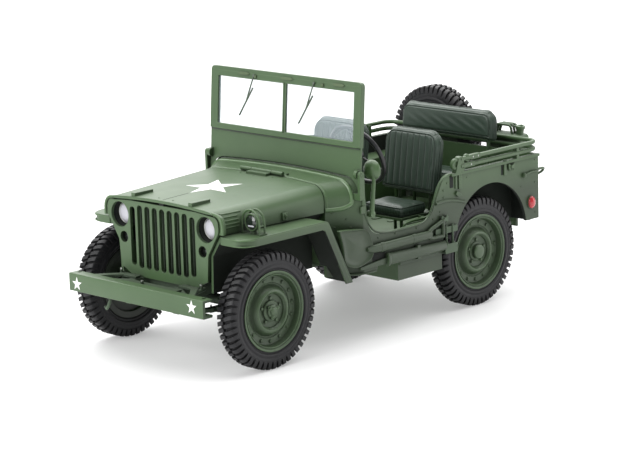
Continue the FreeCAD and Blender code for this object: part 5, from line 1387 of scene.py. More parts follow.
class CAR_OT_body_trim(CarOperator, bpy.types.Operator):
    """Beads, rivets, plates and handles of the body"""

    bl_idname = "car.body_trim"
    bl_label = "Body trim"

    def build(self, sizes):
        self.cowl_lines()
        make_piece("side_beads", both_sides(self.side_beads), "paint", smooth=60.0)
        rivet = sizes.rivet / MM
        sides = ["side_panel_left", "cowl"]
        studs = side_studs(sides, [(24.9, 47.0), (24.2, 41.7), (19.3, 41.3), (-0.9, 36.0), (-12.1, 36.0),
                                   (-21.1, 37.6), (-24.9, 39.6), (-23.9, 42.6), (-26.9, 44.6), (-26.9, 47.2),
                                   (-29.0, 49.6), (8.0, 36.0), (13.4, 39.0)], rivet)
        studs += side_studs(sides, [(20.6, 44.5), (-40.0, 50.0), (-70.5, 41.5), (-78.6, 50.5), (-78.6, 42.0),
                                    (-78.6, 30.5)], rivet * 0.7)
        for y in (-34, -26, 8, 34):
            for z in (30.2, 50.6):
                studs.append((*seat(["rear_panel"], (TUB_BACK - 30, y, z), (1, 0, 0)), rivet * 0.8))
        make_piece("body_rivets", stud_mesh(studs), "paint", smooth=60.0)
        make_piece("side_fittings", both_sides(self.fittings), "paint", bevel=0.08, smooth=40.0)
        make_piece("strap_slots", both_sides(self.slots), "shadow")
        self.bow_ends()
        # The fender's rolled edges carry lighter paint as a painted highlight.
        make_piece("fender_rolls", both_sides(self.fender_rolls), "highlight_edge", smooth=60.0)

    def fender_rolls(self, shape):
        """Rolled upper edge and thin lower edge of a front fender."""
        low, high = node_box("fender_left")
        for inset, drop, radius in ((0.42, 0.45, 0.44), (0.3, 2.52, 0.28)):
            x, y, z = high.x - inset, high.y - inset, high.z - drop
            bend = 34.8 + drop * 0.55
            front = eased([(x, 29.0, z), (x, y, z), (bend + 12, y, z)], 6.1, 6)
            back = eased([(bend + 4, y, z), (bend, y, z), (low.x + 0.9 + drop * 0.9, y, low.z + 0.5)], 2.0, 4)
            shape.tube(front + back, radius, 10)

    def cowl_lines(self):
        """The raised crest, the joint bead and the windshield's seal over the cowl."""
        spots = ((19.0, 49.6), (21.4, 48.4), (24.4, 48.1), (26.9, 48.1))
        left, right = [[seat_aside(["cowl"], x, z, side) for x, z in spots] for side in (LEFT, RIGHT)]
        crest = sunk(left[::-1] + over_arch("cowl", 18.7, 51.8) + right, 0.45)
        # The crest's bright paint is a painted highlight.
        make_piece("cowl_crest", Shape().tube(smooth_line(crest, 3), 0.95, 16), "crest", smooth=60.0)
        joint = smooth_line(sunk(over_arch("cowl", 26.3, 48.4), 0.42), 2)
        # The joint bead's lighter paint is a painted highlight.
        make_piece("cowl_beads", Shape().tube(joint, 0.6, 12), "highlight_edge", smooth=60.0)
        lip = [found for found in over_arch("cowl", 15.6, 52.0, 3.0) if abs(found[0].y) < 37.2]
        strip = Shape().tube([(14.75, point.y, point.z) for point in sunk(lip, -0.35)], 0.55, 10)
        make_piece("cowl_seal", strip, "seal", smooth=60.0)

    def side_beads(self, shape):
        bead = off_wall(((-22.6, 42.9), (-27.0, 43.2), (-33.0, 42.6), (-38.6, 41.0)), 0.0)
        shape.tube(smooth_line(bead, 5), 0.62, 10)
        edge = ((15.9, 53.4), (15.2, 48.0), (13.4, 43.4), (10.6, 39.6), (6.6, 37.9), (0.0, 37.1),
                (-11.0, 37.1), (-17.4, 38.2), (-20.6, 42.4), (-23.4, 48.6), (-26.6, 51.8), (-31.0, 52.6))
        shape.tube(smooth_line(off_wall([(x, z - 0.25) for x, z in edge], -0.05), 5), 0.34, 8)
        shape.tube([(24.6, BODY_SIDE - 6.2, 24.5), (17.2, BODY_SIDE - 0.15, 24.4),
                    (9.4, BODY_SIDE - 0.1, 24.3)], 0.4, 8)

    def fittings(self, shape):
        """Sockets, hooks, the grab handle and the strap plates of one side."""
        wall = BODY_SIDE
        for low, high, radius, out in (
                ((14.6, 46.0), (16.8, 48.6), 0.3, 0.45), ((-36.6, 46.4), (-34.9, 53.0), 0.3, 0.55),
                ((-34.2, 46.8), (-33.2, 53.0), 0.25, 0.4), ((-62.0, 47.4), (-60.4, 53.2), 0.3, 0.5)):
            shape.plate(low, high, radius, "Y", (wall - 0.1, wall + out))
        shape.tube([(-72.0, wall - 0.1, 45.6), (-72.0, wall + 0.9, 45.6)], 0.95, 14)
        shape.tube([(-72.0, wall + 0.6, 45.6), (-72.0, wall + 1.15, 45.6)], 0.6, 12)
        shape.tube(smooth_line([(-72.0, wall + 0.5, 45.6), (-76.0, wall + 0.55, 46.3),
                                (-80.4, wall + 0.2, 46.0)], 5), 0.32, 8)
        handle = [Vector((x, wall - inset, z)) for x, inset, z in (
            (-80.3, 0.5, 46.4), (-83.6, 0.7, 46.5), (-85.8, 1.6, 45.8), (-85.6, 2.6, 44.6),
            (-83.4, 3.1, 43.9), (-80.3, 2.9, 43.9))]
        shape.tube(smooth_ring(handle, 5), 0.5, 10, closed=True)
        shape.tube([(-64.2, wall - 0.1, 50.2), (-64.2, wall + 1.4, 50.2)], 0.7, 12)
        wing_nut(shape, -64.2, ((0.3, 49.8), (1.5, 48.7), (1.9, 51.6), (0.3, 50.8)), (wall + 0.4, wall + 1.1))
        shape.prism(eased([(-36.6, 44.2, 0), (-34.0, 46.0, 0), (-33.0, 44.9, 0), (-34.4, 43.6, 0)], 0.4, 3,
                          closed=True), "Y", wall - 0.1, wall + 0.7)

    def slots(self, shape):
        for low, high, radius in (((-32.3, 47.4), (-30.4, 52.4), 0.4), ((-60.1, 47.6), (-59.2, 52.4), 0.3)):
            shape.plate(low, high, radius, "Y", (BODY_SIDE - 0.1, BODY_SIDE + 0.06))

    def bow_ends(self):
        y = node_box("top_bows")[1].y - 0.8

        def ends(shape):
            shape.lathe([(0.0, -0.9), (1.9, -0.9), (2.1, -0.6), (2.1, 0.35), (1.8, 0.6), (1.15, 0.62),
                         (0.95, 0.3), (0.0, 0.25)], (-33.6, y - 0.2, 55.8), "Y", 28)
            shape.lathe([(0.0, -0.8), (1.3, -0.8), (1.5, -0.5), (1.5, 0.4), (1.2, 0.7), (0.75, 0.72),
                         (0.6, 0.4), (0.0, 0.4)], (-39.9, y - 0.25, 57.2), "Y", 24)
            shape.plate((-47.0, 56.4), (-41.0, 58.2), 0.7, "Y", (y - 0.9, y + 0.65))
            shape.plate((-44.0, 53.8), (-36.0, 55.7), 0.7, "Y", (y - 0.9, y + 0.6))
        make_piece("bow_pivots", both_sides(ends), "paint", bevel=0.1, smooth=36.0)
        heads = [((x, side * (y + 0.6), z), (0, side, 0), 0.42) for side in (LEFT, RIGHT)
                 for x, z in ((-42.6, 57.3), (-45.4, 57.3), (-41.5, 54.7))]
        make_piece("bow_rivets", stud_mesh(heads), "steel", smooth=60.0)


class CAR_OT_hood_trim(CarOperator, bpy.types.Operator):
    """Seam, rivets, louvres and catches of the hood"""

    bl_idname = "car.hood_trim"
    bl_label = "Hood trim"

    def build(self, sizes):
        down = (0, 0, -1)
        self.rim()
        seam = Shape()
        for x in range(63, 75):
            seam.tube([lay(["hood"], (end, 0.0, 80.0), down, -0.06) for end in (x, x + 1)], 0.13, 8)
        make_piece("hood_seam", seam, "shadow", "hood")
        studs = [(*seat(["hood"], (x, y, 80.0), down), 0.34)
                 for x, y in ((73.6, 3.6), (73.6, -3.6), (31.5, 0.0), (30.2, 8.2), (30.2, -8.2))]
        make_piece("hood_rivets", stud_mesh(studs, height=0.5), "paint", "hood", smooth=60.0)

        louvres = Shape()
        catches = Shape()
        for side in (LEFT, RIGHT):
            lines = [(49.4 + row * 1.15, (66.6, 73.0), 0.12, 0.36) for row in range(4)]
            for z, stations, depth, radius in lines + [(53.9, (64.5, 70.0, 73.3), 0.15, 0.42)]:
                ends = [seat_aside(["hood"], x, z, side)[0] - Vector((0, side * depth, 0)) for x in stations]
                louvres.tube(ends, radius, 8)
            y = seat_aside(["hood"], 46.0, 49.5, side)[0].y
            levels = sorted((y - side * 0.2, y + side * 0.7))
            catches.block((45.0, levels[0], 47.9), (47.2, levels[1], 50.6))
            catches.tube([(46.1, y + side * 0.5, 50.2), (46.1, y + side * 1.0, 49.4),
                          (46.1, y + side * 0.6, 48.4)], 0.3, 8)
        make_piece("hood_louvres", louvres, "paint", "hood", smooth=60.0)
        make_piece("hood_catches", catches, "paint", "hood", bevel=0.1)
        # A dark wedge: painted shadow of the latch notch at the top of the grille.
        latch = Shape().prism([(-0.9, 54.25), (0.9, 54.25), (1.4, 55.4), (-1.4, 55.4)], "X",
                              GRILLE_FACE - 1.0, GRILLE_FACE - 0.05)
        make_piece("hood_latch_shadow", latch, "shadow")

    def rim(self):
        """The hood's rolled front edge, which runs down both sides of the grille."""
        front = HOOD_HIGH.x
        side = [(29.75, 47.7), (29.75, 49.8), (29.6, 51.3), (28.9, 52.9), (27.6, 53.95), (25.2, 54.35)]
        line = [Vector((front - 0.85, -y, z)) for y, z in side]
        for y in (-20.5, -10.5, 0.0, 10.5, 20.5):
            top = lay(["hood"], (front - 0.9, y, 80.0), (0, 0, -1), 0.0)
            line.append(Vector((front - 0.62, y, top.z - 0.42)))
        line += [Vector((point.x, -point.y, point.z)) for point in reversed(line[:6])]
        end_radii = [0.6, 0.6, 0.6, 0.6, 0.56, 0.52]
        radii = end_radii + [0.5] * 5 + end_radii[::-1]
        per = 5
        widths = [low + (high - low) * step / per
                  for low, high in zip(radii, radii[1:]) for step in range(per)]
        rim = Shape().tube(smooth_line(line, per), widths + radii[-1:], 14)
        web = Shape().prism([(27.6, 47.5), (29.75, 47.5)] + side[1:] + [(25.2, 53.2)], "X",
                            front - 2.4, front - 0.9).mirrored()
        rim.add(web.verts, web.faces)
        # The rim's lighter paint is a painted highlight.
        make_piece("hood_rim", rim, "highlight_edge", "hood", smooth=60.0)


def leaned_back(point):
    """A point of the upright windshield, turned to its lean about the foot at x 16.2, z 58."""
    lean = math.radians(4.5)
    x = point[0] - 16.2
    z = point[2] - 58.0
    return Vector((16.2 + x * math.cos(lean) - z * math.sin(lean), point[1],
                   58.0 + x * math.sin(lean) + z * math.cos(lean)))


class CAR_OT_windshield_trim(CarOperator, bpy.types.Operator):
    """Borders, seals and fittings of the windshield"""

    bl_idname = "car.windshield_trim"
    bl_label = "Windshield trim"

    def build(self, sizes):
        front = 17.1
        borders = Shape()
        seals = Shape()
        for low_y, high_y in ((-34.5, -0.5), (0.5, 34.5)):
            middle = ((low_y + high_y) / 2, 79.8)
            for shape, grow, inset, radius in ((borders, 0.05, 0.36, 0.4), (seals, 0.425, 0.5, 0.2)):
                line = [leaned_back((front - inset, y + math.copysign(grow, y - middle[0]),
                                     z + math.copysign(grow, z - middle[1])))
                        for y, z in rectangle((low_y, 70.8), (high_y, 88.8), 0.7)]
                shape.tube(line, radius, 8, closed=True)
        for z, radius in ((69.3, 0.34), (90.6, 0.22)):
            borders.tube([leaned_back((front - radius + 0.04, y, z)) for y in (-36.5, 0, 36.5)], radius, 10)
        seals.tube([leaned_back((front - 0.17, y, 68.8)) for y in (-37.4, 0, 37.4)], 0.2, 8)
        # The borders' lighter paint is a painted highlight.
        make_piece("windshield_borders", borders, "highlight_edge", "windshield", smooth=60.0)
        make_piece("windshield_seals", seals, "seal", "windshield", smooth=60.0)
        fittings = Shape()
        for y, half in ((-20.6, 3.0), (1.2, 3.4), (27.0, 3.0)):
            outline = [(y + half * share, z) for share, z in (
                (-1, 90.3), (-0.6, 90.9), (0.6, 90.9), (1, 90.3), (0.6, 89.8), (-0.6, 89.8))]
            fittings.loft([[leaned_back((front + out, *point)) for point in outline] for out in (-0.1, 0.4)])
        for y in (-14.6, 19.2):
            fittings.tube([leaned_back((front + out, y, 89.6)) for out in (-0.3, 0.55)], 0.6, 12)
        make_piece("windshield_fittings", fittings, "strap", "windshield", bevel=0.1)


class CAR_OT_lamps(CarOperator, bpy.types.Operator):
    """Headlights, marker lamps, blackout lamp and tail lamps"""

    bl_idname = "car.lamps"
    bl_label = "Lamps"

    def build(self, sizes):
        headlight = (GRILLE_FACE, 21.8, 48.6)
        marker = (GRILLE_FACE, 20.0, 40.8)

        def buckets(shape):
            shape.lathe([(3.8, -3.6), (3.95, -3.2), (4.65, -1.6), (5.0, -1.3), (5.2, -1.45), (5.1, -3.0),
                         (4.6, -6.2), (3.0, -8.2), (0.0, -8.7), (0.0, -8.0), (3.4, -6.5), (3.7, -3.8)],
                        headlight, "X", 40)
            shape.lathe([(1.75, -2.2), (2.35, -1.35), (2.5, -1.5), (2.3, -4.0), (1.4, -4.8), (0.0, -4.8),
                         (0.0, -4.4), (1.6, -3.6)], marker, "X", 28)
        make_piece("lamp_buckets", both_sides(buckets), "shadow", smooth=50.0)
        ring = Shape().lathe([(3.45, -3.35), (3.5, -3.05), (3.7, -2.9), (3.9, -3.05), (3.9, -3.5)],
                             headlight, "X", 48, closed=True)
        make_piece("headlight_rings", ring.mirrored(), "steel", smooth=60.0)

        def lenses(shape):
            shape.lathe([(3.6, -3.5), (3.45, -3.1), (3.0, -2.75), (2.2, -2.45), (1.1, -2.25), (0.0, -2.2)],
                        headlight, "X", 40)
            shape.lathe([(3.6, -3.5), (0.0, -3.6)], headlight, "X", 40)
            for row in range(-4, 5):
                offset = row * 0.66
                reach = math.sqrt(3.2 ** 2 - offset ** 2)
                rib = []
                for step in range(9):
                    height = -reach + 2 * reach * step / 8
                    depth = 2.24 + 0.058 * math.hypot(offset, height) ** 2
                    rib.append(Vector(headlight) + Vector((-depth, offset, height)))
                shape.tube(rib, 0.14, 6)
        make_piece("headlight_lenses", both_sides(lenses), "lamp_glass", smooth=60.0,
                   replaces=("headlights",))
        lens = Shape().lathe([(1.85, -2.4), (1.7, -2.0), (1.2, -1.65), (0.6, -1.5), (0.0, -1.45)],
                             marker, "X", 28)
        lens.lathe([(1.85, -2.4), (0.0, -2.5)], marker, "X", 28)
        make_piece("marker_lenses", lens.mirrored(), "dark_glass", smooth=60.0, replaces=("marker_lamps",))
        self.blackout_lamp()
        self.tail_lamps()

    def blackout_lamp(self):
        low, high = node_box("blackout_lamp")
        y = (low.y + high.y) / 2
        z = 51.0
        lamp_x = 64.4
        lamp = Shape()
        lamp.lathe([(0.0, 1.1), (2.3, 1.1), (2.5, 1.0), (2.62, 1.45), (2.95, 1.5), (3.1, 1.2), (3.1, 0.6),
                    (2.95, 0.2), (2.8, -1.0), (2.3, -2.2), (1.4, -3.0), (0.0, -3.3)], (lamp_x, y, z), "X", 40)
        for x, reach, rise in ((high.x - 0.45, 4.1, 4.35), (high.x - 3.0, 3.9, 4.1)):
            arch = [(x, y - reach * across, z + rise * up) for across, up in turns(24)[:13]]
            lamp.tube([(x, y - reach, low.z + 0.2)] + arch + [(x, y + reach, low.z + 0.2)], 0.36, 10)
        for side in (LEFT, RIGHT):
            lamp.tube([(high.x - 0.45, y + side * 3.9, z - 1.0), (high.x - 3.0, y + side * 3.75, z - 1.0)],
                      0.28, 8)
            foot_y = y + side * 4.0
            lamp.plate((high.x - 3.5, foot_y - 0.75), (high.x - 0.1, foot_y + 0.75), 0.3, "Z",
                       (low.z, low.z + 0.5))
        lamp.tube([(lamp_x, y, z - 2.6), (lamp_x, y, low.z)], 0.9, 14)
        make_piece("blackout_cage", lamp, "paint", smooth=50.0, replaces=("blackout_lamp",))
        face = Shape().lathe([(2.45, 1.12), (2.3, 1.35), (0.0, 1.5)], (lamp_x, y, z), "X", 32)
        face.lathe([(2.45, 1.12), (0.0, 1.12)], (lamp_x, y, z), "X", 32)
        make_piece("blackout_face", face, "dark_glass", smooth=60.0)
        slit = Shape().plate((y - 1.4, z - 1.5), (y + 1.4, z - 1.0), 0.2, "X", (65.7, 65.98))
        make_piece("blackout_slit", slit, "lamp_glass")

    def tail_lamps(self):
        def lamp(long, tall, levels):
            oval = [(-76.0 + long * ahead, 34.7 + tall * rise) for ahead, rise in turns(32)]
            levels = [(share, BODY_SIDE + out) for share, out in levels]
            return raised_plate(Shape(), oval, "Y", levels).mirrored()
        base = lamp(2.0, 2.6, ((1.0, -0.1), (1.0, 0.3), (0.93, 0.4)))
        make_piece("tail_lamp_bases", base, "paint", smooth=50.0)
        lens = lamp(1.75, 2.35, ((1.0, 0.3), (0.99, 0.65), (0.9, 1.05), (0.7, 1.4), (0.4, 1.62), (0.1, 1.7)))
        make_piece("tail_lamp_lenses", lens, "red", smooth=60.0, replaces=("tail_lamps",))


AXLES = ((-48.5, -1), (62.3, 1))        # x of each axle, and the way its cover faces
DRIVE_Y, DRIVE_Z = -6.5, 20.4           # middle of both differentials


class CAR_OT_chassis(CarOperator, bpy.types.Operator):
    """Leaf springs, brackets, bolts, horn and hooks"""

    bl_idname = "car.chassis"
    bl_label = "Chassis details"

    def build(self, sizes):
        make_piece("leaf_stacks", both_sides(self.springs), "chassis", smooth=30.0,
                   replaces=("leaf_springs",))
        bolt = sizes.bolt / MM
        studs = [(Vector(spot), (0, 0, 1), bolt) for spot in (
            (78.6, 12.6, 27.5), (78.6, -12.6, 27.5), (83.0, -3.6, 28.5), (77.6, 20.4, 29.6),
            (77.6, -20.4, 29.6))]
        for side in (LEFT, RIGHT):
            for x in (30.0, 20.0, -10.0, -35.0, -62.0, 52.0):
                found, normal = seat_aside(["frame_rails"], x, 25.5, side, 36)
                if abs(found.y) < 14:
                    studs.append((found, normal, bolt * 0.8))
        make_piece("frame_bolts", stud_mesh(studs, hexagonal=True), "steel", smooth=20.0)

        parts = Shape()
        parts.lathe([(0.0, -1.2), (3.6, -1.2), (4.0, -0.9), (4.0, 0.1), (3.6, 0.5), (2.8, 0.5), (2.6, 0.2),
                     (1.2, 0.4), (0.0, 0.45)], (81.0, 9.0, 26.6), "Z", 32)
        parts.tube([(81.0, 9.0, 25.6), (80.0, 10.8, 24.6)], 0.6, 8)
        for side in (LEFT, RIGHT):
            y = side * 20.4
            parts.tube([(79.5, side * 13.0, 26.6), (84.9, side * 21.0, 26.6)], 0.75, 10)
            parts.tube([(77.6, y, 27.4), (77.6, y, 30.0)], 0.5, 10)
            parts.tube([(76.0, y, 28.0), (80.5, y, 27.2)], 0.7, 10)
        parts.tube([(83.0, -3.6, 24.5), (83.0, -3.6, 28.4)], 0.55, 10)
        parts.tube([(79.5, -3.6, 26.2), (85.2, -3.6, 26.2)], 0.7, 10)
        parts.tube([(85.6, -17.4, 22.6), (85.6, -17.9, 19.8), (86.0, -18.5, 17.9), (85.6, -19.8, 16.8),
                    (85.2, -20.8, 17.3)], 0.6, 10)
        make_piece("front_fittings", parts, "chassis", smooth=50.0)

        drums = Shape()
        heads = []
        for x, outward in AXLES:
            facing = (outward, 0, 0)
            drums.lathe([(0.0, 4.1), (1.4, 4.1), (2.9, 3.3), (4.3, 1.8), (4.75, 1.4), (4.75, 0.9),
                         (4.3, 0.8)], (x, DRIVE_Y, DRIVE_Z), facing, 32)
            heads += [((x + outward * 1.35, DRIVE_Y + 4.45 * across, DRIVE_Z + 4.45 * rise), facing, 0.3)
                      for across, rise in turns(10)]
        make_piece("axle_covers", drums, "chassis", smooth=40.0)
        make_piece("cover_bolts", stud_mesh(heads, hexagonal=True), "steel", smooth=20.0)

    def springs(self, shape):
        """The leaves, eyes, clips and bolts of the left springs."""
        y = node_box("leaf_springs")[1].y - 1.2
        half = 19.5
        section = ((-1.15, -0.24), (1.15, -0.24), (1.15, 0.0), (-1.15, 0.0))
        for axle_x, _ in reversed(AXLES):
            for leaf in range(6):
                reach = half - 3.0 * leaf
                rings = []
                for step in range(17):
                    along = -reach + 2 * reach * step / 16
                    top = 18.05 + 2.0 * (along / half) ** 2 - 0.27 * leaf
                    rings.append([Vector((axle_x + along, y + aside, top + drop)) for aside, drop in section])
                shape.loft(rings)
            for end in (-1, 1):
                x = axle_x + end * half
                shape.tube([(x, y - 1.2, 20.0), (x, y + 1.2, 20.0)], 1.0, 18)
                shape.tube([(x, y - 1.2, 20.0), (x, y + 1.6, 20.0)], 0.5, 6)
                x = axle_x + end * 11.0
                shape.block((x - 0.5, y - 1.3, 17.4), (x + 0.5, y + 1.3, 19.0))
            for x in (axle_x - 1.9, axle_x + 1.9):
                for aside in (-1.5, 1.5):
                    shape.tube([(x, y + aside, 16.8), (x, y + aside, 18.6)], 0.3, 8)
            shape.block((axle_x - 2.6, y - 1.9, 16.65), (axle_x + 2.6, y + 1.9, 17.1))


class CAR_OT_load(CarOperator, bpy.types.Operator):
    """Fuel can, its strap and the rear bolts"""

    bl_idname = "car.load"
    bl_label = "Load on the back"

    def build(self, sizes):
        low, high = node_box("fuel_can")
        x, y, _ = (low + high) / 2
        top = 59.3
        can = Shape()
        raised_plate(can, rectangle((low.x, low.y), (high.x, high.y), 1.4), "Z",
                     ((0.94, low.z), (1.0, low.z + 0.8), (1.0, top - 3.2), (0.985, top - 2.2),
                      (0.9, top - 1.5), (0.7, top - 1.3)))
        for face_x in (low.x + 0.06, high.x - 0.06):
            for start_y, end_y in ((low.y + 2.4, high.y - 2.4), (high.y - 2.4, low.y + 2.4)):
                can.tube([(face_x, start_y, low.z + 3.0), (face_x, end_y, top - 6.0)], 0.5, 10)
            border = rectangle((low.y + 1.7, low.z + 2.2), (high.y - 1.7, top - 5.2), 1.8)
            can.tube(raised(border, "X", face_x), 0.34, 8, closed=True)
        for offset in (-1.7, 0.0, 1.7):
            handle = [(x + offset, y + ahead, top + rise)
                      for ahead, rise in ((-5.4, -1.8), (-4.0, 1.9), (3.0, 1.9), (3.8, -1.6))]
            can.tube(eased(handle, 1.2, 4), 0.5, 10)
        can.tube([(x, y + 6.0, top - 2.2), (x, y + 6.4, top + 0.9)], 1.5, 20)
        can.tube([(x, y + 6.35, top + 0.7), (x, y + 6.5, top + 1.9)], 1.85, 20)
        can.tube([(x, y + 4.0, top + 1.4), (x, y + 7.4, top + 2.0)], 0.5, 8)
        make_piece("ribbed_can", can, "paint", bevel=0.12, smooth=50.0, replaces=("fuel_can",))

        strap = Shape()
        rings = []
        for spot in rectangle((low.x - 0.32, low.y - 0.3), (high.x + 0.32, high.y + 0.3), 1.5):
            away = Vector((spot[0] - x, spot[1] - y, 0)).normalized() * 0.18
            foot, head = Vector((*spot[:2], 46.8)), Vector((*spot[:2], 48.8))
            rings.append([foot, head, head + away, foot + away])
        strap.loft(rings, closed_path=True)
        strap.plate((y - 1.6, 46.4), (y + 1.6, 49.2), 0.3, "X", (low.x - 0.75, low.x - 0.3))
        make_piece("can_strap", strap, "strap", smooth=50.0)

        spots = [(TUB_BACK - 0.1, -17.6 + 4.6 * across, 46.4 + 4.6 * rise)
                 for across, rise in turns(5, math.radians(90))]
        carrier_x = node_box("spare_carrier")[0].x + 0.05
        spots += [(carrier_x, y, z) for y in (-22.6, -12.6) for z in (41.0, 52.0)]
        guard_x = node_box("rear_bumperettes")[0].x + 0.05
        spots += [(guard_x, side * 21.0, z) for side in (LEFT, RIGHT) for z in (24.0, 26.6)]
        heads = [(spot, (-1, 0, 0), 0.5) for spot in spots]
        make_piece("rear_bolts", stud_mesh(heads, hexagonal=True), "steel", smooth=20.0)


class CAR_OT_cabin(CarOperator, bpy.types.Operator):
    """Gauges, steering wheel, mirror, seat feet and floor ribs"""

    bl_idname = "car.cabin"
    bl_label = "Cabin"

    def build(self, sizes):
        self.gauges()
        self.mirror()
        self.steering_wheel()
        self.arch_shade_paint()
        ribs = Shape()
        for y in (-16.0, -8.0, 0.0, 8.0, 16.0):
            above = (-58.0, y, 44.0) if abs(y) < 15 else (-58.0, y * 0.9, 40.0)
            level = seat(["floor_pan"], above, (0, 0, -1))[0].z
            ribs.plate((-57.0, y - 1.3), (-38.0, y + 1.3), 1.2, "Z", (level - 0.2, level + 0.35))
        make_piece("floor_ribs", ribs, "paint", bevel=0.15)

        def feet(shape):
            shape.tube(smooth_line([(-13.2, 30.9, 29.2), (-13.0, 30.9, 35.2), (-15.4, 30.9, 36.6),
                                    (-24.0, 30.9, 36.7), (-30.5, 30.7, 36.7)], 5), 0.55, 10)
            shape.tube([(-13.2, 30.9, 28.8), (-13.2, 30.9, 29.5)], 1.1, 12)
            shape.tube([(-24.0, 30.9, 36.7), (-24.0, 27.6, 37.0)], 0.5, 8)
        # The feet's lighter paint is a painted highlight.
        make_piece("seat_feet", both_sides(feet), "highlight_edge", smooth=60.0)

    def gauges(self):
        face = node_box("dashboard")[0].x
        back = (-1, 0, 0)
        bezels = Shape()
        dials = Shape()
        ticks = Shape()
        for y, z, radius in ((12.0, 54.6, 2.1), (7.6, 55.6, 1.3), (7.6, 52.4, 1.3), (3.6, 54.0, 1.3),
                             (-0.4, 54.0, 1.3)):
            bezels.lathe([(radius * share, out) for share, out in (
                (0.82, 0.15), (0.86, 0.55), (1.0, 0.6), (1.1, 0.2), (1.1, -0.1))], (face, y, z), back, 28)
            dials.lathe([(radius * 0.88, 0.05), (radius * 0.88, 0.2), (0.0, 0.22)], (face, y, z), back, 28)
            for step in range(9):
                turn = math.radians(-40 + 32.5 * step)
                tick = Vector((0, math.cos(turn), math.sin(turn))) * radius
                dial = Vector((face - 0.24, y, z))
                ticks.tube([dial + tick * 0.58, dial + tick * 0.74], 0.055, 5)
            ticks.tube([(face - 0.26, y, z), (face - 0.26, y + radius * 0.5, z + radius * 0.35)], 0.07, 5)
        for y in (-6.0, -10.0, -14.0):
            bezels.tube([(face + 0.1, y, 50.6), (face - 1.2, y, 50.6)], [0.35, 0.6], 12)
        bezels.plate((-30.0, 49.4), (-17.5, 56.6), 0.8, "X", (face - 0.35, face + 0.1))
        for name, shape, finish in (("bezels", bezels, "paint"), ("dials", dials, "black"),
                                    ("ticks", ticks, "marking")):
            make_piece("gauge_" + name, shape, finish, smooth=50.0)

    def mirror(self):
        low, high = node_box("mirror")
        radius = 3.65
        centre = Vector((low.x + 0.5, high.y - 3.75, high.z - radius - 0.1))
        foot = Vector((low.x + 3.2, high.y - 1.9, low.z + 1.0))
        bend = Vector((centre.x + 1.5, high.y - 1.75, centre.z - 3.2))
        profile = ((0.0, 2.5), (0.3, 2.4), (0.6, 2.0), (0.84, 1.25), (0.97, 0.4), (1.0, -0.2), (0.97, -0.5),
                   (0.9, -0.55), (0.88, -0.3), (0.0, -0.25))
        shell = Shape().lathe([(radius * share, out) for share, out in profile], centre, (1, 0.05, 0), 40)
        arm = smooth_line([foot, foot.lerp(bend, 0.5), bend, centre + Vector((1.5, 0.9, -1.2))], 4)
        shell.tube(arm, [0.95 - 0.035 * step for step in range(13)], 14)
        shell.tube([foot + Vector((0, -1.6, 0)), foot + Vector((0, 0.75, 0))], 1.15, 16)
        # The shell's lighter paint is a painted highlight.
        make_piece("mirror_shell", shell, "highlight_edge", smooth=60.0, replaces=("mirror",))
        glass = Shape()
        for profile in ([(radius * 0.9, 0.15), (radius * 0.86, 0.42), (0.0, 0.5)],
                        [(radius * 0.9, 0.15), (0.0, 0.15)]):
            glass.lathe(profile, centre, (-1, -0.05, 0), 36)
        make_piece("mirror_glass", glass, "mirror", smooth=50.0)

    def steering_wheel(self):
        tilt = math.radians(25.0)
        axis = Vector((math.cos(tilt), 0, -math.sin(tilt)))
        centre = Vector((-4.6, 17.0, 61.5))
        hub = Shape()
        hub.lathe([(2.3, 0.0), (2.3, 0.6), (1.9, 1.15), (1.0, 1.4), (0.0, 1.45)], centre, -axis, 28)
        hub.lathe([(2.3, 0.0), (1.9, -0.8), (1.2, -1.1)], centre, -axis, 28)
        hub.lathe([(0.9, 1.3), (0.9, 1.75), (0.6, 1.95), (0.0, 2.0)], centre, -axis, 20)
        make_piece("wheel_hub", hub, "black", "steering_wheel", smooth=50.0)
        _, side, up = axes(axis)
        ends = [(side * math.cos(turn) + up * math.sin(turn)) * 11.8 - axis * 0.78 for turn in (0.3, 0.36)]
        grips = ring_mesh(Shape().tube(ends, 0.2, 6), 60, axis, centre, finish="black")
        make_piece("wheel_grips", grips, "black", "steering_wheel", smooth=60.0)

    def arch_shade_paint(self):
        # Arches, fenders and tub sides get paint whose faces inside the arches carry black painted shade.
        for node in ("wheel_boxes", "fender_left", "fender_right", "side_panel_left", "side_panel_right"):
            material = finish_for("front_arch_shade_paint" if "fender" in node else "rear_arch_shade_paint")[0]
            for spot in frame["nodes"][node].material_slots:
                spot.material = material


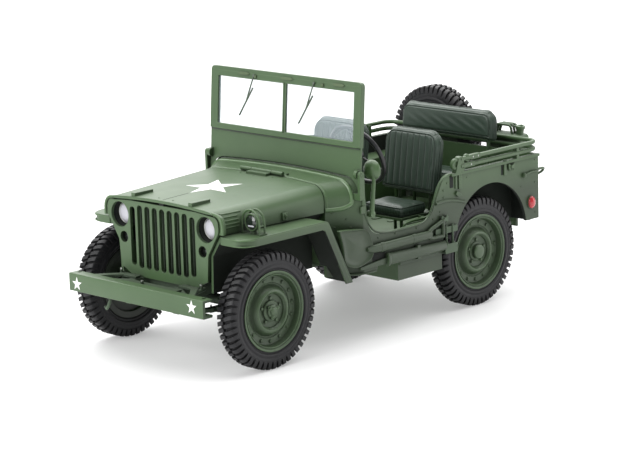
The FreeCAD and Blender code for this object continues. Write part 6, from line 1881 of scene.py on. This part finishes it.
class CAR_OT_bumper(CarOperator, bpy.types.Operator):
    """Channel bumper with rounded edges, holes and braces"""

    bl_idname = "car.bumper"
    bl_label = "Bumper"

    def build(self, sizes):
        low, high = BUMPER_LOW, BUMPER_HIGH
        face, back, web = high.x - 0.05, high.x - 4.4, high.x - 1.2
        section = [(face, low.z), (face, high.z), (back, high.z), (back, high.z - 1.0), (web, high.z - 1.0),
                   (web, low.z + 1.0), (back, low.z + 1.0), (back, low.z)]
        channel = Shape().prism(section, "Y", -high.y, high.y).mesh("channel")
        channel = with_modifier(channel, "BEVEL", width=0.28 * MM, segments=3, limit_method="ANGLE")
        x, y = high.x - 3.0, high.y - 2.6
        cutter = linked("cutter", Shape().tube([(x, y, 15), (x, y, 35)], 0.8, 24).mirrored().mesh("cutter"))
        channel = with_modifier(channel, "BOOLEAN", operation="DIFFERENCE", object=cutter, solver="EXACT")
        bpy.data.objects.remove(cutter)
        make_piece("channel_bumper", channel, "paint", smooth=40.0, replaces=("front_bumper",))
        brace = Shape().prism([(back + 0.5, 23.5), (back + 0.5, 26.1), (high.x - 13.0, 18.7),
                               (high.x - 13.0, 11.0), (high.x - 10.6, 11.0), (high.x - 10.6, 17.3)], "Z",
                               high.z - 1.0, high.z - 0.1)
        make_piece("bumper_braces", brace.mirrored(), "chassis", bevel=0.1)


class CAR_PT_panel(bpy.types.Panel):
    """Lists the builders in the sidebar"""

    bl_label = "Utility Car"
    bl_idname = "CAR_PT_panel"
    bl_space_type = "VIEW_3D"
    bl_region_type = "UI"
    bl_category = "Utility Car"

    def draw(self, context):
        for builder in BUILDERS:
            self.layout.operator(builder.bl_idname)


BUILDERS = (CAR_OT_stage, CAR_OT_finish_nodes, CAR_OT_tyres, CAR_OT_rims, CAR_OT_markings, CAR_OT_seats,
            CAR_OT_tools, CAR_OT_body_trim, CAR_OT_hood_trim, CAR_OT_windshield_trim, CAR_OT_lamps,
            CAR_OT_chassis, CAR_OT_load, CAR_OT_cabin, CAR_OT_bumper)
CLASSES = (CarColours, CarSizes, CarStage) + BUILDERS + (CAR_PT_panel,)


def register():
    for item in CLASSES:
        bpy.utils.register_class(item)
    bpy.types.Scene.car_colours = PointerProperty(type=CarColours)
    bpy.types.Scene.car_sizes = PointerProperty(type=CarSizes)
    bpy.types.Scene.car_stage = PointerProperty(type=CarStage)


def unregister():
    del bpy.types.Scene.car_stage
    del bpy.types.Scene.car_sizes
    del bpy.types.Scene.car_colours
    for item in reversed(CLASSES):
        bpy.utils.unregister_class(item)


def main():
    register()
    for builder in BUILDERS:
        family, name = builder.bl_idname.split(".")
        getattr(getattr(bpy.ops, family), name)()


if __name__ == "__main__":
    main()
